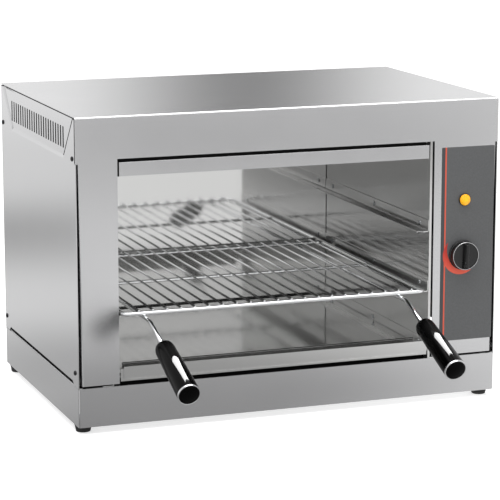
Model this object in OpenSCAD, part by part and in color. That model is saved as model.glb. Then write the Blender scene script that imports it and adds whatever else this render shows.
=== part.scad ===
// Counter-top cheese melter: stainless casing open at the front, wire rack on
// side runners, tubular heating elements above, crumb tray below, controls on the right.
// X runs across the front, the front faces -Y, Z is up and the feet stand on Z = 0.

/* [Casing] */
// Width of the casing, side to side
body_w = 640; // [600:5:700]
// Depth of the casing, front to rear
body_d = 412; // [380:2:460]
// Height of the casing above its feet
body_h = 438; // [410:2:480]
// Thickness of the casing steel
sheet = 1.2; // [0.8:0.1:1.6]
// Height of the full-width hood band at the top
hood_band = 65; // [50:1:75]
// Outer radius of the bend along the top front edge
hood_bend = 3; // [2:0.5:5]
// Depth of the flange turned down at the rear of the hood
hood_rear_flange = 21; // [16:1:26]
// Step back of each post behind the side panel below the hood band
post_step = 3; // [2:0.5:5]
// Depth of the flanges folded back behind the posts and the rear panel
post_flange = 24; // [20:1:34]
// Shadow gap between the casing edges and the plinth
seam_gap = 0.5; // [0.3:0.1:1]
// Shadow gap between the top of the hood and the panels under it
lid_gap = 1.4; // [1:0.1:2]
// Width of the flange turned in along the top of each side panel
side_flange = 12; // [8:1:16]

/* [Plinth and feet] */
// Height of the plinth
plinth_h = 56; // [40:1:60]
// Width of the open seam at each corner of the plinth
corner_seam = 1.5; // [1.3:0.1:2]
// Width of the rails that carry the feet
rail_w = 42; // [36:1:60]
// Height of the upright leg of a foot rail
rail_h = 20; // [12:1:30]
// Height of a foot
foot_h = 10.5; // [8:0.5:20]
// Diameter of a foot where it meets the plinth
foot_top_d = 25; // [22:0.5:32]
// Diameter of a foot on the counter
foot_bottom_d = 21; // [16:0.5:26]
// Distance from the side of the plinth to the middle of a foot
foot_in_x = 12.5; // [12:0.5:30]
// Distance from the front or rear of the plinth to the middle of a foot
foot_in_y = 23; // [18:0.5:28]
// Diameter of the pocket under a foot
foot_pocket_d = 11; // [10.5:0.5:14]
// Diameter of the screw through a foot
foot_screw_d = 5; // [4:0.5:5]
// Height of the head of a foot screw
foot_screw_head = 3.2; // [2.5:0.1:3.6]

/* [Front opening] */
// Width of the left post
left_post = 60; // [55:1:70]
// Width of the right post, which carries the controls
control_post = 101; // [100:1:115]
// Height of the panel above the opening
fascia_h = 60; // [50:1:70]
// Distance that the sill and the shield strip stand back behind the front
trim_in = 3; // [2.5:0.5:5]
// Depth of the sill
sill_depth = 14; // [10:1:18]
// Height of the sill above the plinth
sill_up = 5; // [3:0.5:6]
// Clearance between the left end of the sill and the opening
sill_gap = 2; // [1:0.5:4]

/* [Chamber] */
// Distance that the left chamber wall stands back behind the left post
wall_in_left = 8; // [4:0.5:10]
// Distance from the right chamber wall to the right edge of the opening
wall_in_right = 6; // [4.5:0.5:12]
// Gap between the rear chamber wall and the rear panel
back_gap = 7; // [6:0.5:20]
// Gap between the side walls and the rear wall of the chamber
corner_gap = 2; // [0.5:0.5:3]
// Thickness of the chamber sheets
liner = 1; // [0.8:0.1:1.5]
// Width of the flanges turned out along the foot and head of each side wall
wall_flange = 16; // [12:1:20]
// Width of the bright flange turned out at the front of the right wall
front_flange = 3.5; // [2:0.5:5]
// Height of the reflector above the opening edge
reflector_up = 40; // [34:1:46]
// Distance from the casing front to the riser at the front of the reflector
riser_in = 16; // [14:1:24]

/* [Runners] */
// Height of the lowest runner shelf above the plinth
runner_low = 12; // [12:0.5:16]
// Distance between runner shelves
runner_pitch = 89; // [76:1:90]
// How far a runner shelf stands out from its wall
runner_shelf = 16; // [14:0.5:18]
// Height of a runner against its wall
runner_web = 16; // [10:0.5:16]
// Thickness of a runner
runner_t = 1.2; // [1:0.1:2]
// Distance from the casing front to the front end of a runner
runner_in = 2.5; // [2:0.5:10]
// Length of the slanted cut at the front end of a runner shelf
runner_cut = 7; // [3:1:12]
// Number of rivets along a runner
rivet_count = 3; // [2:1:5]
// Distance from the end of a runner to its first rivet
rivet_in = 30; // [20:1:50]
// Shank diameter of a rivet
rivet_d = 3.2; // [2.4:0.2:4]
// Head diameter of a rivet
rivet_head = 6; // [4.5:0.5:7]
// Height of a rivet head
rivet_head_h = 1.1; // [0.8:0.1:1.6]

/* [Rack] */
// Clearance between the rack frame and the left post
rack_left_gap = 1.5; // [1:0.25:3]
// Clearance between the rack frame and the right chamber wall
rack_right_gap = 9.5; // [6:0.5:10]
// Clearance between the rack frame and the rear chamber wall
rack_rear_gap = 8.8; // [6:0.2:14]
// How far the rack frame stands out of the casing front
rack_out = 14; // [8:1:20]
// Thickness of the frame wire
frame_wire = 6; // [5:0.25:7]
// Thickness of the lengthwise bars
bar_wire = 3.2; // [2.5:0.1:4]
// Thickness of the cross wires
cross_wire = 4.5; // [3.5:0.25:5]
// Number of lengthwise bars
bar_count = 21; // [15:1:25]
// Number of cross wires between the frame ends
cross_count = 1; // [1:1:3]
// Corner radius of the frame
rack_corner = 10; // [8:0.5:16]
// Distance that the bars end short of the frame
bar_inset = 0.5; // [0.2:0.1:1.5]
// Depth of the weld where two wires cross
weld_sink = 0.3; // [0.2:0.05:0.5]

/* [Handles] */
// Thickness of the handle rods
rod_d = 6; // [5:0.25:7]
// Distance from the left side of the rack to the left handle rod
rod_in_left = 32; // [24:0.5:60]
// Distance from the right side of the rack to the right handle rod
rod_in_right = 43; // [24:0.5:60]
// Distance from the rear of the rack to the rear end of a handle rod
rod_rear_in = 4; // [3:1:40]
// How far a rod runs forward before it bends down
rod_straight = 34; // [28:1:50]
// Radius of the bend in a handle rod
rod_bend = 16; // [12:1:24]
// Downward angle of the grips
grip_angle = 20.5; // [15:0.5:25]
// Length of rod between its bend and the grip
rod_neck = 60; // [50:1:70]
// Length of rod inside a grip
rod_socket = 20; // [15:1:40]
// Length of a grip
grip_l = 119; // [90:1:125]
// Diameter of a grip at its outer end
grip_d = 32; // [26:0.5:32]
// Diameter of a grip at its inner end
grip_inner_d = 28; // [24:0.5:30]
// Length of the rounded shoulder at the inner end of a grip
grip_shoulder = 12; // [8:1:18]
// Length of the metal ring round the end of a grip
grip_ring_l = 3; // [2:0.5:5]
// Width of the metal ring round the end of a grip
grip_ring = 1.5; // [1:0.25:3]

/* [Crumb tray] */
// Thickness of the tray sheet
tray_t = 1; // [0.8:0.1:1.2]
// Height of the tray floor above the plinth
tray_up = 8.5; // [8:0.5:10]
// Height of the tray front lip
lip_h = 19; // [14:0.5:20]
// Distance from the end of the tray front to the end of its lip
lip_in = 4.5; // [2:0.5:6]
// How far the folded return behind the lip reaches under the tray floor
lip_under = 2.5; // [1:0.25:2.75]
// How far the folded return ends below the top of the lip
lip_return_in = 3.5; // [2:0.5:6]
// Corner radius of the tray front lip
lip_corner = 4; // [2:0.5:6]
// Depth of the finger channel behind the lip
lip_channel = 18; // [14:1:24]
// Height of the tray rear wall
tray_rear_h = 9; // [7:0.5:12]
// Clearance between the tray lip and the sides of the opening
tray_side_gap = 2; // [1.5:0.25:4]
// Clearance between the tray and the rear chamber wall
tray_rear_gap = 11; // [8:1:20]

/* [Heating] */
// Diameter of a heating tube
tube_d = 8.5; // [6.5:0.5:10]
// Distance between the two legs of a heating element
tube_pitch = 70; // [60:1:72]
// Distance between the two heating elements
element_pitch = 170; // [150:1:180]
// Radius of the bends at the closed end of an element
tube_bend = 22; // [16:1:22]
// Drop of the heating tubes below the reflector
tube_drop = 22; // [16:1:26]
// Distance from the left chamber wall to the bend of an element
tube_in = 14; // [10:1:24]
// How far the cold ends reach through the right chamber wall
tube_out = 26; // [20:1:34]
// Length of a terminal pin
pin_l = 12; // [8:1:16]
// Width of the foot of a hanger strip
hanger_foot = 12; // [10:1:18]
// Distance from the side walls to the hanger strips
hanger_in = 96; // [70:1:120]
// Reach of a hanger strip past the outer tubes
hanger_reach = 14; // [8:1:20]
// Height of the shield strip at the top of the opening
shield_h = 20; // [15:0.5:24]
// Gap between the opening edge and the shield strip
shield_gap = 5; // [3:0.5:6]
// Height of the shield strip's rear edge above the opening
shield_up = 9; // [5:1:16]

/* [Controls] */
// Width of the control label
label_w = 84; // [80:1:92]
// Height of the control label
label_h = 288; // [250:1:290]
// Thickness of the control label
label_t = 0.6; // [0.4:0.1:1]
// Distance from the opening to the control label
label_in = 12; // [6:0.5:12]
// Height of the control label above the plinth
label_up = 24; // [14:1:24]
// Distance from the left edge of the label to the middle of the knob
knob_in = 35; // [30:0.2:44]
// Height of the knob above the plinth
knob_up = 152; // [110:1:200]
// Diameter of the knob
knob_d = 44; // [36:1:50]
// Length of the knob body
knob_l = 12; // [10:0.5:16]
// Thickness of the skirt round the foot of the knob
knob_skirt = 3; // [2:0.5:4]
// Height of the grip bar on the knob face
knob_bar_h = 7.5; // [5:0.5:10]
// Width of the grip bar on the knob face
knob_bar_w = 8; // [6:0.5:12]
// Width of the bright ring on the knob face
knob_ring_w = 1.2; // [0.8:0.1:2]
// Depth of the bright ring in the knob face
knob_ring_h = 1.4; // [1:0.1:2]
// Diameter of the shaft under the knob
shaft_d = 6; // [5:0.5:7]
// Diameter of the threaded bushing round the shaft
bushing_d = 10; // [9:0.5:12]
// Width of the energy regulator
regulator_w = 42; // [36:1:50]
// Height of the energy regulator
regulator_h = 48; // [40:1:56]
// Depth of the energy regulator
regulator_d = 34; // [28:1:44]
// Thickness of the nut behind the casing front
regulator_nut_h = 4; // [3:0.5:5]
// Height of the pilot lamp above the knob
lamp_up = 82; // [60:1:100]
// Distance of the pilot lamp to the right of the knob
lamp_right = 1.6; // [0:0.2:4]
// Diameter of the pilot lamp lens
lamp_d = 16.5; // [14:0.5:20]
// Height of the pilot lamp lens
lamp_lens_h = 4.4; // [3:0.2:6]
// Diameter of the pilot lamp body
lamp_body_d = 12; // [10:0.5:13]
// Length of the pilot lamp body behind its flange
lamp_body_l = 25; // [20:1:34]

/* [Side vents] */
// Number of slots in each side panel
slot_count = 23; // [15:1:24]
// Distance between the middles of two slots
slot_pitch = 13.05; // [10:0.05:13.5]
// Width of a slot
slot_w = 6; // [4:0.5:7]
// Height of a slot
slot_h = 30; // [20:1:34]
// Distance from the casing front to the middle of the first slot
slot_start = 66.5; // [64:0.5:75]
// Height of the slots above the foot of the hood band
slot_up = 14.5; // [8:0.5:18]
// Depth of the pressed recess around the slots
recess = 2.5; // [1.5:0.25:3]
// Width of the slanted border of the recess
recess_edge = 3; // [2:0.5:6]
// Distance from front and rear to the lower corners of the recess
recess_low_in = 61; // [56:1:62]
// Distance from front and rear to the upper corners of the recess
recess_high_in = 6; // [4:1:12]
// Height of the air gap under each side panel
air_gap = 6; // [4:0.5:7]
// Distance from the front or rear to the foot of the air gap
air_in = 21.5; // [18:0.5:30]
// Length of the slanted ends of the air gap
air_slant = 8.5; // [4:0.5:12]

/* [Fasteners] */
// Head diameter of a panel screw
screw_head = 7.5; // [6:0.5:9]
// Height of a panel screw head
screw_head_h = 2; // [1.5:0.25:3]
// Shank diameter of a panel screw
screw_d = 4; // [3:0.5:5]
// Length of a panel screw under its head
screw_l = 8; // [6:0.5:12]
// Distance from the casing front to the panel screws
screw_front_in = 16; // [12:0.5:20]
// Distance from the casing rear to the panel screws
screw_rear_in = 8.5; // [7:0.5:16]
// Height of the upper panel screws above the foot of the hood band
screw_up = 6; // [4:0.5:10]
// Height of the lower panel screws above the air gap
screw_low_up = 11; // [8:0.5:20]
// Distance from the casing sides to the outer screws of the hood's rear flange
rear_screw_in = 77; // [40:1:120]
// Distance from front and rear to the bolts that hold the chamber
bolt_in = 60; // [50:1:90]
// Height of a deck bolt head or nut
bolt_head_h = 3; // [2.5:0.1:4]
// Length of the terminal block
terminal_l = 52; // [40:1:60]
// Width of the terminal block
terminal_w = 22; // [18:1:26]
// Height of the terminal block
terminal_h = 20; // [16:1:24]
// Distance from the chamber wall to the terminal block
terminal_in = 30; // [22:1:40]
// Distance from the casing rear to the front of the terminal block
terminal_back = 110; // [90:1:140]
// Number of screw wells in the terminal block
terminal_count = 3; // [2:1:3]
// Diameter of the cable gland body
gland_d = 19; // [16:0.5:24]
// How far the cable gland stands out at the rear
gland_out = 13; // [10:0.5:18]
// Distance from the chamber wall to the middle of the cable gland
gland_in = 45; // [36:1:60]
// Height of the cable gland above the plinth
gland_up = 30; // [20:1:60]

/* [Hidden] */
// Amount by which a cutter passes through a face
over = 1;
// Gap between pieces that are clamped or welded face to face
touch = 0.02;
// Running clearance between pieces that slide or rest
rest_gap = 0.3;
// Radial clearance of a screw or shaft in its hole
fit = 0.05;
// Extra radius of a weld bead where two wires meet
bead = 0.1;
// Number of flats on small rounds, wires and large rounds
fn_small = 16;
fn_wire = 20;
fn_round = 48;

// Main levels and faces of the casing
left = -body_w / 2;
right = body_w / 2;
grip_reach = rod_straight + rod_bend * sin(grip_angle) + (rod_neck + grip_l) * cos(grip_angle)
    + grip_d / 2 * sin(grip_angle);
front = (grip_reach - body_d - gland_out) / 2;
rear = front + body_d;
deck = foot_h + plinth_h;
top = foot_h + body_h;
hood_low = top - hood_band;
panel_low = deck + seam_gap;
panel_top = top - sheet - lid_gap;

// Edges of the front opening and planes of the trim in it
open_l = left + left_post;
open_r = right - control_post;
open_top = top - fascia_h;
trim_y = front + trim_in;

// Inner faces of the chamber
wall_l = open_l - wall_in_left;
wall_r = open_r - wall_in_right;
wall_rear = rear - sheet - back_gap - liner;
wall_top = open_top + reflector_up;
wall_front = front + sheet + rest_gap;
chamber_w = wall_r - wall_l;

// Runner shelves, their length and their rivets
shelf_z = [for (i = [0 : 2]) deck + runner_low + i * runner_pitch];
runner_front = front + runner_in;
runner_l = wall_rear - 2 * rest_gap - runner_front;
rivet_pitch = (runner_l - 2 * rivet_in) / (rivet_count - 1);
rivet_y = [for (i = [0 : rivet_count - 1]) runner_front + rivet_in + i * rivet_pitch];

// Edges of the rack and wire centres of its frame
rack_l = open_l + rack_left_gap;
rack_r = wall_r - rack_right_gap;
rack_front = front - rack_out;
rack_rear = wall_rear - rack_rear_gap;
wire_l = rack_l + frame_wire / 2;
wire_r = rack_r - frame_wire / 2;
wire_front = rack_front + frame_wire / 2;
wire_rear = rack_rear - frame_wire / 2;
// Planes of the rack: frame wire, bars and handle rods
frame_z = shelf_z[1] + rest_gap + frame_wire / 2;
bar_z = frame_z + frame_wire / 2 + bar_wire / 2 - weld_sink;
rod_z = frame_z - frame_wire / 2 - rod_d / 2 + weld_sink;
bar_pitch = (wire_r - wire_l) / (bar_count + 1);
rod_places = [rack_l + rod_in_left, rack_r - rod_in_right];

// Levels and edges of the crumb tray
tray_z = deck + tray_up;
tray_rim = shelf_z[0] + rest_gap;
tray_l = open_l + tray_side_gap;
tray_r = wall_r - tray_side_gap;
pan_in = runner_shelf + 3 * rest_gap;
pan_l = wall_l + pan_in;
pan_r = wall_r - pan_in;
pan_front = front + lip_channel;
pan_rear = wall_rear - tray_rear_gap;

// Heating tube legs, centred to a whole millimetre, and their ends
tube_first = round((front + wall_rear - element_pitch - tube_pitch) / 2);
tube_legs = [for (i = [0, 1]) for (k = [0, 1]) tube_first + i * element_pitch + k * tube_pitch];
tube_z = wall_top - tube_drop;
tube_start = wall_l + tube_in;
tube_end = wall_r + tube_out;

// Middles of the knob, the lamp and the cable gland
label_l = open_r + label_in;
knob_x = label_l + knob_in;
knob_z = deck + knob_up;
lamp_x = knob_x + lamp_right;
lamp_z = knob_z + lamp_up;
gland_x = wall_r + gland_in;
gland_z = deck + gland_up;
// Planes in front of the casing: the label, the back and the face of the knob
label_y = front - label_t;
knob_back = label_y - rest_gap;
knob_face = knob_back - knob_l;
// Depth of the shaft in the knob, of the lamp flange, and where the regulator starts
shaft_tip = knob_face + 2.3;
lamp_flange = 2;
regulator_y = front + sheet + regulator_nut_h + 2 * bead;

// Places of the screws in one side panel, as distances along Y and Z
screw_places = [[front + screw_front_in, hood_low + screw_up],
    [rear - screw_rear_in, hood_low + screw_up],
    [front + screw_front_in, panel_low + air_gap + screw_low_up],
    [rear - screw_rear_in, panel_low + air_gap + screw_low_up]];
// Places and height of the screws along the top of the rear panel
rear_screws = [left + rear_screw_in, 0, right - rear_screw_in];
rear_screw_z = top - hood_rear_flange / 2;
// Places of the bolts that hold the chamber walls to the plinth deck
bolt_x = [wall_l - liner - wall_flange / 2, wall_r + liner + wall_flange / 2];
bolt_places = [for (x = bolt_x) for (y = [front + bolt_in, rear - bolt_in]) [x, y]];

// Block given by its low corner and its size
module block(x, y, z, dx, dy, dz) {
    translate([x, y, z])
        cube([dx, dy, dz]);
}

// Rod along X from a low end
module rod_x(x, y, z, l, d, flats) {
    translate([x, y, z])
        rotate([0, 90, 0])
            cylinder(h = l, d = d, $fn = flats);
}

// Rod along Y from a front end
module rod_y(x, y, z, l, d, flats) {
    translate([x, y, z])
        rotate([-90, 0, 0])
            cylinder(h = l, d = d, $fn = flats);
}

// Rod along Z from a low end
module rod_up(x, y, z, l, d, flats) {
    translate([x, y, z])
        cylinder(h = l, d = d, $fn = flats);
}

// Flat shape drawn in X and Z, given depth towards +Y
module face_plate(y, t) {
    translate([0, y + t, 0])
        rotate([90, 0, 0])
            linear_extrude(height = t)
                children();
}

// Flat shape drawn in Y and Z, given thickness towards +X
module side_plate(x, t) {
    translate([x, 0, 0])
        rotate([90, 0, 90])
            linear_extrude(height = t)
                children();
}

// Places of the four feet
module at_feet() {
    for (x = [left + foot_in_x, right - foot_in_x])
        for (y = [front + foot_in_y, rear - foot_in_y])
            translate([x, y, 0])
                children();
}

// Folded tray: a deck and four skirts, with an open seam at each corner
module base_plinth() {
    inside_w = body_w - 2 * sheet;
    inside_d = body_d - 2 * sheet;
    color("silver")
        difference() {
            block(left, front, foot_h, body_w, body_d, plinth_h);
            block(left + sheet, front + sheet, foot_h - over, inside_w, inside_d, plinth_h + over - sheet);
            for (x = [left - over, right - corner_seam])
                for (y = [front - over, rear - corner_seam])
                    block(x, y, foot_h - over, corner_seam + over, corner_seam + over,
                        plinth_h + over - sheet);
            for (p = bolt_places)
                rod_up(p[0], p[1], deck - sheet - over, sheet + 2 * over, screw_d + 2 * fit, fn_small);
        }
}

// Two L-shaped rails inside the plinth, along its front and rear skirts
module foot_rails() {
    x = left + sheet + rest_gap;
    l = body_w - 2 * (sheet + rest_gap);
    y = [front + sheet + touch, rear - sheet - touch];
    color("silver")
        difference() {
            union() {
                block(x, y[0], foot_h, l, rail_w, sheet);
                block(x, y[0], foot_h, l, sheet, rail_h);
                block(x, y[1] - rail_w, foot_h, l, rail_w, sheet);
                block(x, y[1] - sheet, foot_h, l, sheet, rail_h);
            }
            at_feet()
                rod_up(0, 0, foot_h - over, sheet + 2 * over, foot_screw_d + 2 * fit, fn_small);
        }
}

module feet() {
    color("black")
        at_feet()
            difference() {
                cylinder(h = foot_h, d1 = foot_bottom_d, d2 = foot_top_d, $fn = fn_round);
                rod_up(0, 0, -over, foot_h / 2 + over, foot_pocket_d, fn_wire);
                rod_up(0, 0, 0, foot_h + over, foot_screw_d + 2 * fit, fn_small);
            }
}

module foot_screws() {
    thread = foot_h / 2 + sheet + 2 * foot_screw_head;
    color("gray")
        at_feet()
            union() {
                rod_up(0, 0, foot_h / 2 - foot_screw_head, foot_screw_head, 2 * foot_screw_d, fn_wire);
                rod_up(0, 0, foot_h / 2 - bead, thread, foot_screw_d, fn_small);
                rod_up(0, 0, foot_h + sheet + bead, foot_screw_head, 1.8 * foot_screw_d, 6);
            }
}

// Front of the hood: the band, the two posts and the opening between them
module hood_outline() {
    difference() {
        union() {
            translate([left, hood_low])
                square([body_w, hood_band - hood_bend]);
            translate([left + post_step, panel_low])
                square([body_w - 2 * post_step, hood_low - panel_low + hood_bend]);
        }
        translate([open_l, deck])
            square([open_r - open_l, open_top - deck]);
    }
}

// Section of the bend along the top front edge of the hood
module hood_bend_outline() {
    translate([front + hood_bend, top - hood_bend])
        difference() {
            intersection() {
                circle(r = hood_bend, $fn = fn_round);
                translate([-hood_bend, 0])
                    square([hood_bend, hood_bend]);
            }
            circle(r = hood_bend - sheet, $fn = fn_round);
        }
}

module hood() {
    flange_h = hood_low - panel_low + hood_rear_flange;
    color("silver")
        difference() {
            union() {
                block(left, front + hood_bend, top - sheet, body_w, body_d - hood_bend, sheet);
                side_plate(left, body_w)
                    hood_bend_outline();
                face_plate(front, sheet)
                    hood_outline();
                for (x = [left + post_step, right - post_step - sheet])
                    block(x, front + sheet / 2, panel_low, sheet, post_flange, flange_h);
                block(left + post_step, rear - 2 * sheet - rest_gap, top - hood_rear_flange,
                    body_w - 2 * post_step, sheet, hood_rear_flange - sheet / 2);
            }
            for (p = screw_places)
                rod_x(left - over, p[0], p[1], body_w + 2 * over, screw_d + 2 * fit, fn_small);
            for (x = rear_screws)
                rod_y(x, rear - screw_l, rear_screw_z, screw_l + over, screw_d + 2 * fit, fn_small);
            rod_y(knob_x, front - over, knob_z, sheet + 2 * over, bushing_d + 4 * fit, fn_wire);
            rod_y(lamp_x, front - over, lamp_z, sheet + 2 * over, lamp_body_d + 4 * fit, fn_wire);
        }
}

// Side panel seen from the side, with the air gap along its foot
module side_outline() {
    y0 = front;
    y1 = rear - sheet - rest_gap;
    y2 = front + sheet + rest_gap;
    z0 = panel_low;
    z1 = panel_low + air_gap;
    polygon([[y0, z0], [y0 + air_in, z0], [y0 + air_in + air_slant, z1],
        [y1 - air_in - air_slant, z1], [y1 - air_in, z0], [y1, z0], [y1, panel_top],
        [y2, panel_top], [y2, hood_low - rest_gap], [y0, hood_low - rest_gap]]);
}

// Trapezoid of the pressed recess, smaller by a given inset
module recess_outline(inset) {
    polygon([[front + recess_low_in + inset, hood_low + over + inset],
        [rear - recess_low_in - inset, hood_low + over + inset],
        [rear - recess_high_in - inset, top + over], [front + recess_high_in + inset, top + over]]);
}

// Solid between the outlines of the recess on the outside and on its floor
module recess_solid(x) {
    hull() {
        side_plate(x - touch, touch)
            recess_outline(0);
        side_plate(x + recess, touch)
            recess_outline(recess_edge);
    }
}

module side_panel() {
    flange_l = body_d - post_flange - hood_rear_flange;
    difference() {
        union() {
            side_plate(left, sheet)
                side_outline();
            intersection() {
                recess_solid(left + sheet);
                side_plate(left - over, 3 * recess)
                    side_outline();
            }
            block(left + recess + touch, front + post_flange, panel_top - sheet, side_flange,
                flange_l, sheet);
        }
        recess_solid(left);
        for (i = [0 : slot_count - 1])
            block(left - over, front + slot_start + i * slot_pitch - slot_w / 2, hood_low + slot_up,
                recess + sheet + 2 * over, slot_w, slot_h);
        for (p = screw_places)
            rod_x(left - over, p[0], p[1], sheet + 2 * over, screw_d + 2 * fit, fn_small);
    }
}

module side_panel_left() {
    color("silver")
        side_panel();
}

module side_panel_right() {
    color("silver")
        mirror([1, 0, 0])
            side_panel();
}

module rear_panel() {
    flange_h = hood_low - panel_low + hood_rear_flange;
    color("silver")
        difference() {
            union() {
                block(left, rear - sheet, panel_low, body_w, sheet, panel_top - panel_low);
                for (x = [left + post_step, right - post_step - sheet])
                    block(x, rear - sheet / 2 - post_flange, panel_low, sheet, post_flange, flange_h);
            }
            for (p = screw_places)
                rod_x(left - over, p[0], p[1], body_w + 2 * over, screw_d + 2 * fit, fn_small);
            for (x = rear_screws)
                rod_y(x, rear - 2 * sheet, rear_screw_z, 3 * sheet, screw_d + 2 * fit, fn_small);
            rod_y(gland_x, rear - 2 * sheet, gland_z, 3 * sheet, 0.8 * gland_d + 2 * fit, fn_wire);
        }
}

// One domed screw with its head against a face at X = 0, pointing towards +X
module panel_screw() {
    h = screw_head_h / 2;
    rod_x(-bead, 0, 0, screw_l, screw_d, fn_small);
    rotate([0, -90, 0])
        cylinder(h = h, d1 = screw_head, d2 = 0.9 * screw_head, $fn = fn_wire);
    translate([-h, 0, 0])
        rotate([0, -90, 0])
            cylinder(h = h, d1 = 0.9 * screw_head, d2 = 0.55 * screw_head, $fn = fn_wire);
}

module panel_screws() {
    color("gray") {
        for (p = screw_places)
            for (side = [left, right])
                translate([side, p[0], p[1]])
                    rotate([0, 0, side < 0 ? 0 : 180])
                        panel_screw();
        for (x = rear_screws)
            translate([x, rear, rear_screw_z])
                rotate([0, 0, -90])
                    panel_screw();
    }
}

// Box section under the tray lip
module front_sill() {
    x = open_l + sill_gap;
    l = wall_r - rest_gap - x;
    z = deck + sill_up;
    h = tray_z - rest_gap - z;
    color("silver")
        union() {
            block(x, trim_y, z, l, sheet, h);
            block(x, trim_y, deck + touch, l, sill_depth, sheet);
            block(x, trim_y + sill_depth - sheet, deck + touch, l, sheet, h + sill_up - touch);
            block(x, trim_y, tray_z - rest_gap - sheet, l, sill_depth, sheet);
        }
}

// Side wall of the chamber with flanges turned out; side is -1 on the left, 1 on the right
module chamber_wall(side) {
    depth = wall_rear - wall_front - corner_gap;
    x = side < 0 ? wall_l - liner : wall_r;
    flange_x = side < 0 ? wall_l - wall_flange : wall_r;
    difference() {
        union() {
            block(x, wall_front, deck + touch, liner, depth, wall_top - deck);
            block(flange_x, wall_front, deck + touch, wall_flange, depth, liner);
            block(flange_x, wall_front, wall_top - liner, wall_flange, depth, liner);
        }
        for (p = bolt_places)
            rod_up(p[0], p[1], deck - over, liner + 2 * over, screw_d + 2 * fit, fn_small);
        if (side > 0)
            for (y = tube_legs)
                rod_x(x - over, y, tube_z, liner + 2 * over, tube_d + 2 * fit, fn_wire);
    }
}

module chamber_wall_left() {
    color("silver")
        chamber_wall(-1);
}

module chamber_wall_right() {
    color("silver")
        union() {
            chamber_wall(1);
            block(wall_r, wall_front, deck + liner, front_flange, liner, open_top - deck);
        }
}

module chamber_wall_rear() {
    flange = back_gap - over;
    color("silver")
        union() {
            block(wall_l - liner, wall_rear, deck + touch, chamber_w + 2 * liner, liner, wall_top - deck);
            for (z = [deck + touch, wall_top - liner])
                block(wall_l - liner, wall_rear, z, chamber_w + 2 * liner, flange, liner);
        }
}

// Bright sheet above the heating tubes, with a riser behind the shield strip
module reflector() {
    y = front + riser_in;
    color("gainsboro")
        union() {
            block(wall_l - wall_flange, y, wall_top + touch, chamber_w + 2 * wall_flange,
                wall_rear - y + back_gap / 2, liner);
            block(wall_l + liner, y, open_top + 2 * liner, chamber_w - 2 * liner, liner,
                reflector_up - 1.5 * liner);
        }
}

module element_shield() {
    x0 = open_l + sill_gap + rest_gap;
    x1 = wall_r - rest_gap;
    z1 = open_top - shield_gap;
    depth = riser_in - trim_in - rest_gap;
    color("silver")
        union() {
            block(x0, trim_y, z1 - shield_h, x1 - x0, sheet, shield_h);
            block(x0, trim_y, z1 - sheet, x1 - x0, depth, sheet);
            block(x0, trim_y + depth - sheet, z1 - sheet, x1 - x0, sheet, shield_gap + shield_up);
            block(x1 - sheet, trim_y, z1 - shield_h, sheet, depth - rest_gap, shield_h);
        }
}

// Quarter bend of a heating tube, centred on a corner
module tube_corner(x, y, turn) {
    translate([x, y, tube_z])
        rotate([0, 0, turn])
            rotate_extrude(angle = 90, $fn = fn_round)
                translate([tube_bend, 0])
                    circle(d = tube_d, $fn = fn_wire);
}

// One hairpin tube: two legs along X, closed on the left by two bends and a short straight
module heating_element(y) {
    r = tube_bend;
    rod_y(tube_start, y + r, tube_z, tube_pitch - 2 * r, tube_d, fn_wire);
    tube_corner(tube_start + r, y + r, 180);
    tube_corner(tube_start + r, y + tube_pitch - r, 90);
    for (k = [0, 1]) {
        rod_x(tube_start + r, y + k * tube_pitch, tube_z, tube_end - tube_start - r, tube_d, fn_wire);
        rod_x(tube_end - over, y + k * tube_pitch, tube_z, pin_l, tube_d / 2, fn_small);
    }
}

module heating_elements() {
    color("dimgray")
        for (i = [0, 1])
            heating_element(tube_first + i * element_pitch);
}

// L-shaped strips under the reflector, with a hole for each tube
module element_hangers() {
    y = tube_first - hanger_reach;
    l = element_pitch + tube_pitch + 2 * hanger_reach;
    color("gray")
        difference() {
            for (x = [wall_l + hanger_in, wall_r - hanger_in]) {
                block(x, y, tube_z - tube_d, sheet, l, tube_drop + tube_d - rest_gap);
                block(x, y, wall_top - rest_gap - sheet, hanger_foot, l, sheet);
            }
            for (y = tube_legs)
                rod_x(wall_l, y, tube_z, chamber_w, tube_d + 2 * fit, fn_wire);
        }
}

// Outline of a runner shelf in X and Y, its front corner cut at a slant
module shelf_outline() {
    polygon([[touch, runner_front], [runner_shelf - runner_cut, runner_front],
        [runner_shelf, runner_front + runner_cut], [runner_shelf, runner_front + runner_l],
        [touch, runner_front + runner_l]]);
}

// The runners of one side lying against a wall at X = 0, shelves towards +X
module runner_set() {
    difference() {
        for (z = shelf_z) {
            block(touch, runner_front, z - runner_t, runner_t, runner_l, runner_web + runner_t);
            translate([0, 0, z - runner_t])
                linear_extrude(height = runner_t)
                    shelf_outline();
        }
        for (z = shelf_z)
            for (y = rivet_y)
                rod_x(-over, y, z + runner_web / 2, runner_t + 2 * over, rivet_d + 2 * fit, fn_small);
    }
}

module runners_left() {
    color("silver")
        translate([wall_l, 0, 0])
            runner_set();
}

module runners_right() {
    color("silver")
        translate([wall_r, 0, 0])
            mirror([1, 0, 0])
                runner_set();
}

module runner_rivets() {
    color("gray")
        for (z = shelf_z)
            for (y = rivet_y)
                for (wall = [wall_l, wall_r])
                    translate([wall, y, z + runner_web / 2])
                        rotate([0, 0, wall == wall_l ? 0 : 180]) {
                            rod_x(touch, 0, 0, runner_t + bead, rivet_d, fn_small);
                            rod_x(runner_t + 2 * touch, 0, 0, rivet_head_h, rivet_head, fn_wire);
                        }
}

module deck_bolts() {
    shank = sheet + liner + 2 * bolt_head_h + 2 * over;
    color("gray")
        for (p = bolt_places) {
            rod_up(p[0], p[1], deck - sheet - bolt_head_h - over, shank, screw_d, fn_small);
            rod_up(p[0], p[1], deck + liner + 2 * touch, bolt_head_h, screw_head, 6);
            rod_up(p[0], p[1], deck - sheet - bolt_head_h - touch, bolt_head_h, screw_head, 6);
        }
}

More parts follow.
